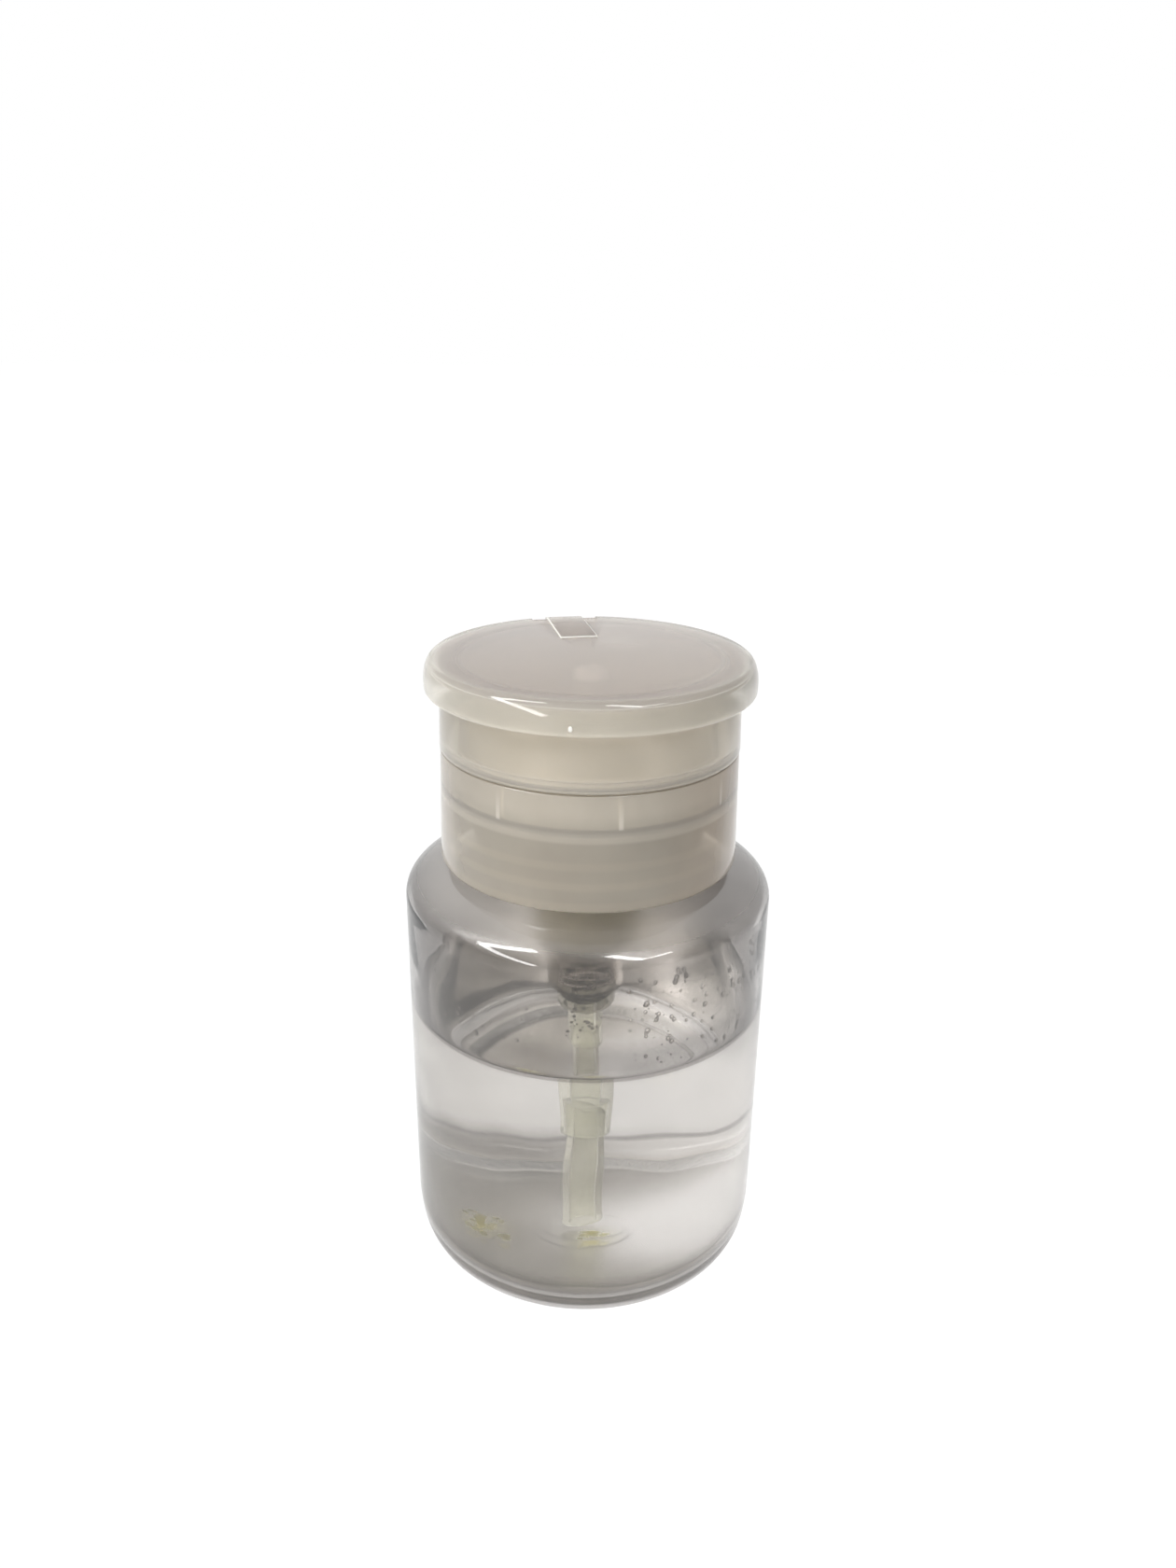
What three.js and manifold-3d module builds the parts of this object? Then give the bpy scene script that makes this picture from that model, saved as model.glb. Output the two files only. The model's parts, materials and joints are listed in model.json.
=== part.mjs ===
// Push-down dispenser bottle with a flip lid, in millimetres, +Z up.
// The origin is the middle of the standing ring, on the surface that the bottle stands on.
// The lid's hinge is at the back, turned a little from +Y.
import * as THREE from 'three';
import { mergeVertices } from 'three/addons/utils/BufferGeometryUtils.js';
import Module from 'manifold-3d';

const wasm = await Module();
wasm.setup();

// Facets round the axis of the wide pieces, of the pump and of the small bores
const WIDE_FACETS = 48;
const PUMP_FACETS = 32;
const SMALL_FACETS = 24;

// Straight steps along the curved parts of the outlines
const HEEL_STEPS = 5;
const FILLET_STEPS = 4;
const SHOULDER_STEPS = 8;
const INNER_SHOULDER_STEPS = 7;
const LID_EDGE_STEPS = 5;
const LID_LIP_STEPS = 3;
const DISH_STEPS = 5;
const DOME_STEPS = 4;

// How far a cutting block runs past what it cuts
const CUT_MARGIN = 2;

// Gaps that several pieces share
const STACK_GAP = 0.1;
const SLIP_GAP = 0.1;
const BALL_GAP = 0.05;
const LIQUID_GAP = 0.3;

// Bottle
const BODY_RADIUS = 30;
const BODY_WALL = 0.9;
const BODY_HEIGHT = 63.4;
const HEEL_INSET = 1.6;
const HEEL_HEIGHT = 7.5;
const HEEL_FILLET = 4;
const STANDING_RING_WIDTH = 4;
const PUSH_UP = 0.8;
const PUSH_UP_SLOPE = 1.2;
const FLOOR_THICKNESS = 1.2;
const SHOULDER_RISE = 7.1;
const SHOULDER_EXPONENT = 2.33;
const CROWN_RADIUS = 4.8;
const NECK_RADIUS = 15.4;
const NECK_WALL = 1.4;
const NECK_HEIGHT = 8.6;
const LIQUID_LEVEL = 44.8;

// Closure skirt: outer wall, deck and inner threaded wall
const SKIRT_RADIUS = 23.65;
const SKIRT_WALL = 1.5;
const SKIRT_DRAFT = 0.4;
const SHOULDER_GAP = 1.45;
const DECK_THICKNESS = 1.4;
const THREAD_ROOM = 1.4;
const THREAD_WALL = 1.5;
const THREAD_WALL_GAP = 1.6;

// Upper ring: spigot with crush ribs, shelf and band
const SPIGOT_SEAT_GAP = 0.25;
const SPIGOT_LENGTH = 5.55;
const SPIGOT_WALL = 1.1;
const RIB_COUNT = 8;
const RIB_AZIMUTH = 11.2;
const RIB_WIDTH = 0.5;
const RIB_HEIGHT = 0.3;
const RIB_SINK = 0.4;
const RIB_TOP_GAP = 0.5;
const RIB_CLEARANCE = 0.1;
const SEAM_GAP = 0.15;
const SHELF_THICKNESS = 1.3;
const BAND_OVERHANG = 0.15;
const BAND_WALL = 1.5;
const BAND_DRAFT = 0.35;
const BAND_HEIGHT = 12.2;

// Lid
const LID_GAP = 0.6;
const LID_THICKNESS = 1.3;
const LID_RIM_GAP = 0.6;
const LID_RIM_WALL = 1.5;
const LID_RIM_DEPTH = 5;
const LID_EDGE_RISE = 3.4;
const LID_EDGE_INSET = 1.4;
const LID_LIP_ROUND = 0.7;
const SEAL_RING_INSET = 0.7;
const SEAL_RING_WALL = 1;
const SEAL_RING_DEPTH = 1.2;

// Lid hinge
const HINGE_AZIMUTH = 11.5;
const HINGE_LIFT = 0.8;
const KNUCKLE_RADIUS = 1.5;
const KNUCKLE_CLEARANCE = 0.3;
const LEAF_WIDTH = 6.2;
const LEAF_LENGTH = 13.4;
const LEAF_RISE = 0.25;
const LEAF_SKIN = 0.9;
const LEAF_WALL = 1;
const LEAF_ROOT = 0.4;
const STRAP_ROUND = 4;
const EAR_RADIUS = 1.6;
const EAR_WIDTH = 1.8;
const EAR_GAP = 0.35;
const EAR_ROOT_DROP = 3.3;
const EAR_SLOT_INSET = 0.8;
const PIN_RADIUS = 0.75;
const PIN_EAR_GAP = 0.05;
const PIN_END = 0.2;

// Press dish
const STROKE = 5.5;
const STROKE_RESERVE = 0.4;
const SEAL_GAP = 0.2;
const DISH_CLEARANCE = 0.4;
const DISH_RIM_WIDTH = 1.7;
const DISH_FLANGE = 1.5;
const DISH_LIP = 0.4;
const DISH_DEPTH = 1.8;
const DISH_THICKNESS = 1.3;
const GUIDE_CLEARANCE = 0.35;
const GUIDE_WALL = 1.2;
const BOSS_WALL = 1.4;

// Outlet nozzle and outlet valve
const NOZZLE_RADIUS = 2.9;
const NOZZLE_RISE = 1.7;
const NOZZLE_SHANK_RADIUS = 2.2;
const NOZZLE_SHANK_LENGTH = 3.3;
const NOZZLE_BORE = 0.6;
const NOZZLE_CROWN = 1.2;
const NOZZLE_BEVEL = 0.6;
const NOZZLE_TO_STEM = 0.7;
const OUTLET_BALL_RADIUS = 1.9;
const OUTLET_LIFT = 1.2;
const OUTLET_SEAT_RADIUS = 1.3;

// Stem, chaplet and piston
const STEM_RADIUS = 3.3;
const STEM_BORE = 1.3;
const STEM_COLLAR_RADIUS = 5;
const STEM_COLLAR_HEIGHT = 1.2;
const STEM_STOP_GAP = 0.15;
const STEM_GUIDE_GAP = 0.2;
const CHAPLET_DEPTH = 5.3;
const CHAPLET_FLANGE_RADIUS = 9.4;
const CHAPLET_FLANGE_HEIGHT = 1.1;
const CHAPLET_HOLE_GAP = 0.4;
const PISTON_HEIGHT = 5.7;
const PISTON_WAIST = 0.6;
const PISTON_LIP = 1.2;
const PISTON_HUB_WALL = 0.8;
const PISTON_FLANGE_RADIUS = 6.4;
const PISTON_FLANGE_HEIGHT = 1.6;
const PISTON_STUB_RADIUS = 3.3;
const PISTON_STUB_LENGTH = 2;
const PISTON_PORT = 1.5;

// Pump housing, from its flange down
const GASKET_THICKNESS = 1.1;
const GASKET_OVERLAP = 0.9;
const FLANGE_THICKNESS = 1.3;
const FLANGE_CLEARANCE = 0.6;
const BARREL_RADIUS = 9;
const BARREL_WALL = 1.3;
const BARREL_LENGTH = 25.9;
const BARREL_TAPER = 1.5;
const SPRING_CHAMBER_RADIUS = 6.65;
const SPRING_CHAMBER_WALL = 1.25;
const SPRING_CHAMBER_LENGTH = 7.8;
const SPRING_CHAMBER_TAPER = 0.9;
const BALL_CHAMBER_RADIUS = 5.1;
const BALL_CHAMBER_WALL = 1.2;
const BALL_CHAMBER_LENGTH = 6.5;
const BALL_CHAMBER_TAPER = 1.5;
const SOCKET_RADIUS = 3.15;
const SOCKET_LENGTH = 14.9;
const SOCKET_DEPTH = 6;
const TAPER_OFFSET = 0.8;
const SPRING_LEDGE = 0.3;
const INLET_PASSAGE = 1.6;
const INLET_SEAT_RISE = 0.2;
const INLET_BALL_RADIUS = 2.6;
const INLET_LIFT = 1.3;
const NIB_COUNT = 3;
const NIB_REACH = 1.9;
const NIB_WIDTH = 1.2;

// Return spring
const SPRING_RADIUS = 4.6;
const WIRE_DIAMETER = 0.8;
const SPRING_COILS = 10;
const STEPS_PER_COIL = 8;
const WIRE_SIDES = 5;

// Dip tube
const TUBE_RADIUS = 2.35;
const TUBE_WALL = 0.9;
const TUBE_FOOT_GAP = 0.6;
const TUBE_FACETS = 16;

// Heights that follow from the sizes above
const floorTop = PUSH_UP + FLOOR_THICKNESS;
const crownHeight = BODY_HEIGHT + SHOULDER_RISE;
const neckTop = crownHeight + NECK_HEIGHT;
const gasketBottom = neckTop + STACK_GAP;
const gasketTop = gasketBottom + GASKET_THICKNESS;
const flangeBottom = gasketTop + STACK_GAP;
const flangeTop = flangeBottom + FLANGE_THICKNESS;
const deckBottom = flangeTop + STACK_GAP;
const deckTop = deckBottom + DECK_THICKNESS;
const spigotBottom = deckTop + SPIGOT_SEAT_GAP;
const shelfBottom = spigotBottom + SPIGOT_LENGTH;
const ringTop = shelfBottom + BAND_HEIGHT;
const lidUnder = ringTop + LID_GAP;
const lidTop = lidUnder + LID_THICKNESS;
const rimBottom = lidTop - LID_RIM_DEPTH;
const dishRimTop = lidUnder - SEAL_RING_DEPTH - SEAL_GAP;
const dishFloor = dishRimTop - DISH_LIP - DISH_DEPTH;
const nozzleBottom = dishFloor - NOZZLE_SHANK_LENGTH;
const socketLedge = nozzleBottom - NOZZLE_TO_STEM;
const stemTop = socketLedge - STACK_GAP;
const chapletTop = flangeTop + STACK_GAP + CHAPLET_FLANGE_HEIGHT;
const chapletBottom = flangeTop - CHAPLET_DEPTH;
const collarTop = chapletBottom - STEM_STOP_GAP;
const collarBottom = collarTop - STEM_COLLAR_HEIGHT;
const sealTop = collarBottom - STACK_GAP;
const sealBottom = sealTop - PISTON_HEIGHT;
const pistonFlangeTop = sealBottom - STACK_GAP;
const pistonFlangeBottom = pistonFlangeTop - PISTON_FLANGE_HEIGHT;
const barrelBottom = flangeBottom - BARREL_LENGTH;
const chamberTop = barrelBottom - BARREL_TAPER;
const chamberBottom = chamberTop - SPRING_CHAMBER_LENGTH;
const springSeat = chamberBottom + SPRING_LEDGE;
const ballChamberTop = chamberBottom - SPRING_CHAMBER_TAPER;
const ballChamberBottom = ballChamberTop - BALL_CHAMBER_LENGTH;
const inletSeat = ballChamberBottom + INLET_SEAT_RISE;
const socketTop = ballChamberBottom - BALL_CHAMBER_TAPER;
const socketBottom = socketTop - SOCKET_LENGTH;
const tubeStop = socketBottom + SOCKET_DEPTH;

// Radii that follow from the sizes above
const neckBore = NECK_RADIUS - NECK_WALL;
const threadWallBore = NECK_RADIUS + THREAD_ROOM;
const threadWallRadius = threadWallBore + THREAD_WALL;
const skirtBore = SKIRT_RADIUS - SKIRT_WALL;
const spigotRadius = skirtBore - RIB_CLEARANCE - RIB_HEIGHT;
const spigotBore = spigotRadius - SPIGOT_WALL;
const bandRadius = SKIRT_RADIUS + BAND_OVERHANG;
const bandBore = bandRadius - BAND_WALL;
const rimBore = bandRadius + LID_RIM_GAP;
const rimRadius = rimBore + LID_RIM_WALL;
const dishRadius = bandBore - DISH_CLEARANCE;
const sealRingRadius = dishRadius - SEAL_RING_INSET;
const guideRadius = spigotBore - GUIDE_CLEARANCE;
const guideBore = guideRadius - GUIDE_WALL;
const barrelBore = BARREL_RADIUS - BARREL_WALL;
const springBore = SPRING_CHAMBER_RADIUS - SPRING_CHAMBER_WALL;
const ballBore = BALL_CHAMBER_RADIUS - BALL_CHAMBER_WALL;
const stemSocketBore = STEM_RADIUS + SLIP_GAP;
const outletChamber = OUTLET_BALL_RADIUS + NOZZLE_TO_STEM / 2;
const nozzleHole = Math.max(NOZZLE_SHANK_RADIUS, OUTLET_BALL_RADIUS) + SLIP_GAP;

// The hinge axis, before the closure is turned to the hinge's azimuth
const hingeY = bandRadius + KNUCKLE_CLEARANCE + KNUCKLE_RADIUS;
const hingeZ = rimBottom + HINGE_LIFT;
const earInner = LEAF_WIDTH / 2 + EAR_GAP;
const earOuter = earInner + EAR_WIDTH;

const point = (r, z) => new THREE.Vector2(r, z);

// A closed three.js geometry as a solid
function solid(geometry) {
  const bare = geometry.index ? geometry.toNonIndexed() : geometry.clone();
  bare.deleteAttribute('normal');
  bare.deleteAttribute('uv');
  const merged = mergeVertices(bare, 1e-5);
  const vertProperties = new Float32Array(merged.attributes.position.array);
  const triVerts = new Uint32Array(merged.index.array);
  const body = new wasm.Manifold(new wasm.Mesh({ numProp: 3, vertProperties, triVerts }));
  if (body.volume() > 0) return body;
  for (let i = 0; i < triVerts.length; i += 3) {
    [triVerts[i], triVerts[i + 1]] = [triVerts[i + 1], triVerts[i]];
  }
  return new wasm.Manifold(new wasm.Mesh({ numProp: 3, vertProperties, triVerts }));
}

// A profile of radius and height turned about Z
function turned(profile, facets) {
  return solid(new THREE.LatheGeometry(profile, facets).rotateX(Math.PI / 2));
}

// A turned ring, whose profile closes on itself
function turnedRing(profile, facets) {
  return turned([...profile, profile[0].clone()], facets);
}

// A block between two corners
function block(low, high) {
  const size = high.map((value, i) => value - low[i]);
  const middle = high.map((value, i) => (value + low[i]) / 2);
  return solid(new THREE.BoxGeometry(...size).translate(...middle));
}

// A plate whose outline is drawn in Y and Z, from one X to another
function plateAcross(outline, fromX, toX) {
  const geometry = new THREE.ExtrudeGeometry(outline, { depth: toX - fromX, bevelEnabled: false });
  const turn = new THREE.Matrix4().makeBasis(
    new THREE.Vector3(0, 1, 0),
    new THREE.Vector3(0, 0, 1),
    new THREE.Vector3(1, 0, 0),
  );
  return solid(geometry.applyMatrix4(turn).translate(fromX, 0, 0));
}

// A rod along X on the hinge axis
function hingeRod(radius, halfLength) {
  const rod = new THREE.CylinderGeometry(radius, radius, 2 * halfLength, SMALL_FACETS);
  return solid(rod.rotateZ(Math.PI / 2).translate(0, hingeY, hingeZ));
}

function ball(radius, height) {
  const sphere = new THREE.SphereGeometry(radius, PUMP_FACETS / 2, PUMP_FACETS / 4);
  return solid(sphere.rotateX(Math.PI / 2).translate(0, 0, height));
}

// Points along a quarter of an ellipse, from its wide end to its high end
function quarter(centre, across, up, steps) {
  return Array.from({ length: steps + 1 }, (_, i) => {
    const angle = (i / steps) * Math.PI / 2;
    return point(centre.x + across * Math.cos(angle), centre.y + up * Math.sin(angle));
  });
}

// The shoulder's super-ellipse, drawn in from the outside by a wall
function shoulderAt(radius, wall) {
  const share = (radius - CROWN_RADIUS) / (BODY_RADIUS - wall - CROWN_RADIUS);
  const rest = 1 - Math.abs(share) ** SHOULDER_EXPONENT;
  return BODY_HEIGHT + (SHOULDER_RISE - wall) * rest ** (1 / SHOULDER_EXPONENT);
}

function shoulder(toRadius, wall, steps) {
  const fromRadius = BODY_RADIUS - wall;
  const last = Math.acos((toRadius - CROWN_RADIUS) / (fromRadius - CROWN_RADIUS));
  return Array.from({ length: steps + 1 }, (_, i) => {
    const radius = CROWN_RADIUS + (fromRadius - CROWN_RADIUS) * Math.cos(last * i / steps);
    return point(radius, shoulderAt(radius, wall));
  });
}

// The bottle's inside, drawn in further by a gap, from the floor up to the neck's bore
function insideOutline(gap) {
  const wall = BODY_WALL + gap;
  const corner = point(BODY_RADIUS - wall - HEEL_FILLET, floorTop + gap + HEEL_FILLET);
  const heel = quarter(corner, HEEL_FILLET, -HEEL_FILLET, FILLET_STEPS).reverse();
  return [point(0, floorTop + gap), ...heel, ...shoulder(neckBore - gap, wall, INNER_SHOULDER_STEPS)];
}

// The bottle: standing ring, heel, straight body, shoulder and neck, with its inside
function bottle() {
  const baseRadius = BODY_RADIUS - HEEL_INSET;
  const ringInner = baseRadius - STANDING_RING_WIDTH;
  const heelCentre = point(baseRadius, HEEL_HEIGHT);
  const heel = quarter(heelCentre, HEEL_INSET, -HEEL_HEIGHT, HEEL_STEPS).reverse();
  return turned([
    point(0, PUSH_UP),
    point(ringInner - PUSH_UP_SLOPE, PUSH_UP),
    point(ringInner, 0),
    ...heel,
    ...shoulder(NECK_RADIUS, 0, SHOULDER_STEPS),
    point(NECK_RADIUS, neckTop),
    point(neckBore, neckTop),
    ...insideOutline(0).reverse(),
  ], WIDE_FACETS);
}

// The pump's outer outline below its flange, widened by a gap
function pumpOutline(gap) {
  return [
    point(TUBE_RADIUS + gap, floorTop),
    point(TUBE_RADIUS + gap, socketBottom - gap),
    point(SOCKET_RADIUS + gap, socketBottom - gap),
    point(SOCKET_RADIUS + gap, socketTop - gap),
    point(BALL_CHAMBER_RADIUS + gap, ballChamberBottom - gap),
    point(BALL_CHAMBER_RADIUS + gap, ballChamberTop - gap),
    point(SPRING_CHAMBER_RADIUS + gap, chamberBottom - gap),
    point(SPRING_CHAMBER_RADIUS + gap, chamberTop - gap),
    point(BARREL_RADIUS + gap, barrelBottom - gap),
    point(BARREL_RADIUS + gap, flangeBottom),
  ];
}

// The liquid fills the bottle round the pump, up to its level
function liquid() {
  const inside = insideOutline(LIQUID_GAP);
  const room = turned([...inside, point(0, inside.at(-1).y)], WIDE_FACETS);
  const above = block([-BODY_RADIUS, -BODY_RADIUS, LIQUID_LEVEL], [BODY_RADIUS, BODY_RADIUS, neckTop]);
  const outline = pumpOutline(LIQUID_GAP);
  const foot = [point(0, 0), point(outline[0].x, 0)];
  const pump = turned([...foot, ...outline, point(0, flangeBottom)], PUMP_FACETS);
  return room.subtract(above).subtract(pump);
}

// The skirt, turned in one piece with its deck and its inner wall
function closureSkirt() {
  const bottom = shoulderAt(skirtBore, 0) + SHOULDER_GAP;
  const threadBottom = shoulderAt(threadWallBore, 0) + THREAD_WALL_GAP;
  const hole = CHAPLET_FLANGE_RADIUS + CHAPLET_HOLE_GAP;
  return turnedRing([
    point(SKIRT_RADIUS + SKIRT_DRAFT, bottom),
    point(SKIRT_RADIUS, shelfBottom - SEAM_GAP),
    point(skirtBore, shelfBottom - SEAM_GAP),
    point(skirtBore, deckTop),
    point(hole, deckTop),
    point(hole, deckBottom),
    point(threadWallBore, deckBottom),
    point(threadWallBore, threadBottom),
    point(threadWallRadius, threadBottom),
    point(threadWallRadius, deckBottom),
    point(skirtBore, deckBottom),
    point(skirtBore + SKIRT_DRAFT, bottom),
  ], WIDE_FACETS);
}

// One of the thin ribs that wedge the spigot in the skirt
function crushRib(index) {
  const azimuth = THREE.MathUtils.degToRad(RIB_AZIMUTH - 90 + index * 360 / RIB_COUNT);
  const depth = RIB_HEIGHT + RIB_SINK;
  const length = SPIGOT_LENGTH - RIB_TOP_GAP;
  const rib = new THREE.BoxGeometry(depth, RIB_WIDTH, length);
  rib.translate(spigotRadius + RIB_HEIGHT - depth / 2, 0, spigotBottom + length / 2);
  return solid(rib.rotateZ(azimuth));
}

// One hinge ear, grown out of the band
function hingeEar(side) {
  const rootY = Math.sqrt((bandRadius - BAND_WALL / 2) ** 2 - ((earInner + earOuter) / 2) ** 2);
  const outline = new THREE.Shape();
  outline.moveTo(rootY, hingeZ - EAR_ROOT_DROP);
  outline.absarc(hingeY, hingeZ, EAR_RADIUS, -Math.PI / 4, Math.PI / 2, false);
  outline.lineTo(rootY, hingeZ + EAR_RADIUS);
  const fromX = side > 0 ? earInner : -earOuter;
  return plateAcross(outline, fromX, fromX + EAR_WIDTH);
}

// Spigot, shelf and band, with the hinge ears on the band
function upperRing() {
  let ring = turnedRing([
    point(bandRadius, shelfBottom),
    point(bandRadius - BAND_DRAFT, ringTop),
    point(bandBore, ringTop),
    point(bandBore, shelfBottom + SHELF_THICKNESS),
    point(spigotBore, shelfBottom + SHELF_THICKNESS),
    point(spigotBore, spigotBottom),
    point(spigotRadius, spigotBottom),
    point(spigotRadius, shelfBottom),
  ], WIDE_FACETS);
  for (let i = 0; i < RIB_COUNT; i += 1) {
    ring = ring.add(crushRib(i).rotate([0, 0, -HINGE_AZIMUTH]));
  }
  ring = ring.add(hingeEar(1)).add(hingeEar(-1));
  return ring.subtract(hingeRod(PIN_RADIUS + PIN_EAR_GAP, earOuter + CUT_MARGIN));
}

// The lid's turned shape: a plate with a rounded rim and a sealing ring
function lidShell() {
  const edgeCentre = point(rimRadius - LID_EDGE_INSET, lidTop - LID_EDGE_RISE);
  const edge = quarter(edgeCentre, LID_EDGE_INSET, LID_EDGE_RISE, LID_EDGE_STEPS);
  const lipCentre = point(rimRadius - LID_LIP_ROUND, rimBottom + LID_LIP_ROUND);
  const lip = quarter(lipCentre, LID_LIP_ROUND, -LID_LIP_ROUND, LID_LIP_STEPS);
  return turned([
    point(0, lidTop),
    ...edge.reverse(),
    ...lip,
    point(rimBore, rimBottom),
    point(rimBore, lidUnder),
    point(sealRingRadius, lidUnder),
    point(sealRingRadius, lidUnder - SEAL_RING_DEPTH),
    point(sealRingRadius - SEAL_RING_WALL, lidUnder - SEAL_RING_DEPTH),
    point(sealRingRadius - SEAL_RING_WALL, lidUnder),
    point(0, lidUnder),
  ], WIDE_FACETS);
}

// The raised leaf on the lid, which turns down at the back into the knuckle
function hingeLeaf() {
  const backY = hingeY + KNUCKLE_RADIUS;
  const leafTop = lidTop + LEAF_RISE;
  const inPlate = lidTop - LEAF_ROOT;
  const outline = new THREE.Shape();
  outline.moveTo(backY - STRAP_ROUND - LEAF_LENGTH, inPlate);
  outline.lineTo(backY - STRAP_ROUND - LEAF_LENGTH, leafTop);
  outline.absarc(backY - STRAP_ROUND, leafTop - STRAP_ROUND, STRAP_ROUND, Math.PI / 2, 0, true);
  outline.absarc(hingeY, hingeZ, KNUCKLE_RADIUS, 0, -Math.PI, true);
  outline.lineTo(hingeY - KNUCKLE_RADIUS, inPlate);
  return plateAcross(outline, -LEAF_WIDTH / 2, LEAF_WIDTH / 2);
}

// The lid, slotted for the ears, with the leaf hollow underneath
function lid() {
  const slotInner = bandRadius - EAR_SLOT_INSET;
  const slotOuter = hingeY + KNUCKLE_RADIUS + CUT_MARGIN;
  const slotWidth = earOuter + EAR_GAP;
  const high = lidTop + LEAF_RISE + CUT_MARGIN;
  const leafStart = hingeY + KNUCKLE_RADIUS - STRAP_ROUND - LEAF_LENGTH;
  const pocketSide = LEAF_WIDTH / 2 - LEAF_WALL;
  const pocketEnd = sealRingRadius - SEAL_RING_WALL - LEAF_WALL;
  const pocket = block(
    [-pocketSide, leafStart + LEAF_WALL, lidUnder - LEAF_WALL],
    [pocketSide, pocketEnd, lidTop + LEAF_RISE - LEAF_SKIN],
  );
  return lidShell()
    .subtract(block([-slotWidth, slotInner, 0], [-LEAF_WIDTH / 2, slotOuter, high]))
    .subtract(block([LEAF_WIDTH / 2, slotInner, 0], [slotWidth, slotOuter, high]))
    .add(hingeLeaf())
    .subtract(pocket)
    .subtract(hingeRod(PIN_RADIUS + SLIP_GAP, LEAF_WIDTH / 2 + CUT_MARGIN));
}

// The dish: a hollow plate with a rim, a guide wall and a boss for the stem
function pressDish() {
  const rimInner = dishRadius - DISH_RIM_WIDTH;
  const bossRadius = stemSocketBore + BOSS_WALL;
  const plate = (fromR, toR, drop) => Array.from({ length: DISH_STEPS + 1 }, (_, i) => {
    const radius = fromR + (toR - fromR) * i / DISH_STEPS;
    return point(radius, dishFloor - drop + DISH_DEPTH * (radius / rimInner) ** 2);
  });
  return turnedRing([
    ...plate(nozzleHole, rimInner, 0),
    point(rimInner, dishRimTop),
    point(dishRadius, dishRimTop),
    point(dishRadius, dishRimTop - DISH_FLANGE),
    point(guideRadius, dishRimTop - DISH_FLANGE),
    point(guideRadius, deckTop + STROKE + STROKE_RESERVE),
    point(guideBore, deckTop + STROKE + STROKE_RESERVE),
    ...plate(guideBore, bossRadius, DISH_THICKNESS),
    point(bossRadius, chapletTop + STROKE + STROKE_RESERVE),
    point(stemSocketBore, chapletTop + STROKE + STROKE_RESERVE),
    point(stemSocketBore, socketLedge),
    point(nozzleHole, socketLedge),
  ], WIDE_FACETS);
}

// The outlet button: a domed head on a shank, with the outlet through it
function outletNozzle() {
  const top = dishFloor + NOZZLE_RISE;
  const under = dishFloor + DISH_DEPTH * (NOZZLE_RADIUS / dishRadius) ** 2 + STACK_GAP;
  const domeCentre = point(NOZZLE_CROWN, under + STACK_GAP);
  const dome = quarter(domeCentre, NOZZLE_RADIUS - NOZZLE_CROWN, top - domeCentre.y, DOME_STEPS);
  return turnedRing([
    point(NOZZLE_BORE, nozzleBottom),
    point(NOZZLE_SHANK_RADIUS, nozzleBottom),
    point(NOZZLE_SHANK_RADIUS, under),
    point(NOZZLE_RADIUS, under),
    ...dome,
    point(NOZZLE_BORE, top - NOZZLE_BEVEL),
  ], SMALL_FACETS);
}

// A ball on a seat of 45 degrees touches it at the radius times root two above the seat's apex
const outletBallZ = nozzleBottom - STACK_GAP - OUTLET_LIFT - OUTLET_BALL_RADIUS;
const outletApex = outletBallZ - (OUTLET_BALL_RADIUS + BALL_GAP) * Math.SQRT2;
const inletApex = inletSeat - INLET_PASSAGE;
const inletBallZ = inletApex + (INLET_BALL_RADIUS + BALL_GAP) * Math.SQRT2;
const nibBottom = inletBallZ + INLET_BALL_RADIUS + INLET_LIFT + STACK_GAP;

// The stem: a hollow tube with a collar above the piston and the outlet valve's seat at its top
function stem() {
  return turnedRing([
    point(STEM_BORE, pistonFlangeTop + STACK_GAP),
    point(STEM_RADIUS, pistonFlangeTop + STACK_GAP),
    point(STEM_RADIUS, collarBottom),
    point(STEM_COLLAR_RADIUS, collarBottom),
    point(STEM_COLLAR_RADIUS, collarTop),
    point(STEM_RADIUS, collarTop),
    point(STEM_RADIUS, stemTop),
    point(outletChamber, stemTop),
    point(outletChamber, outletApex + outletChamber),
    point(OUTLET_SEAT_RADIUS, outletApex + OUTLET_SEAT_RADIUS),
    point(STEM_BORE, outletApex + OUTLET_SEAT_RADIUS - STEM_BORE),
  ], SMALL_FACETS);
}

// The chaplet: a plug in the barrel that guides the stem and stops its collar
function chaplet() {
  const bore = STEM_RADIUS + STEM_GUIDE_GAP;
  return turnedRing([
    point(bore, chapletBottom),
    point(barrelBore - SLIP_GAP, chapletBottom),
    point(barrelBore - SLIP_GAP, flangeTop + STACK_GAP),
    point(CHAPLET_FLANGE_RADIUS, flangeTop + STACK_GAP),
    point(CHAPLET_FLANGE_RADIUS, chapletTop),
    point(bore, chapletTop),
  ], PUMP_FACETS);
}

// The seal: a sleeve with a wiping lip at each end
function pistonSeal() {
  const lip = barrelBore - SLIP_GAP;
  const hub = STEM_RADIUS + SLIP_GAP + PISTON_HUB_WALL + SLIP_GAP;
  return turnedRing([
    point(hub, sealBottom),
    point(lip, sealBottom),
    point(lip - PISTON_WAIST, sealBottom + PISTON_LIP),
    point(lip - PISTON_WAIST, sealTop - PISTON_LIP),
    point(lip, sealTop),
    point(hub, sealTop),
  ], PUMP_FACETS);
}

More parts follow.
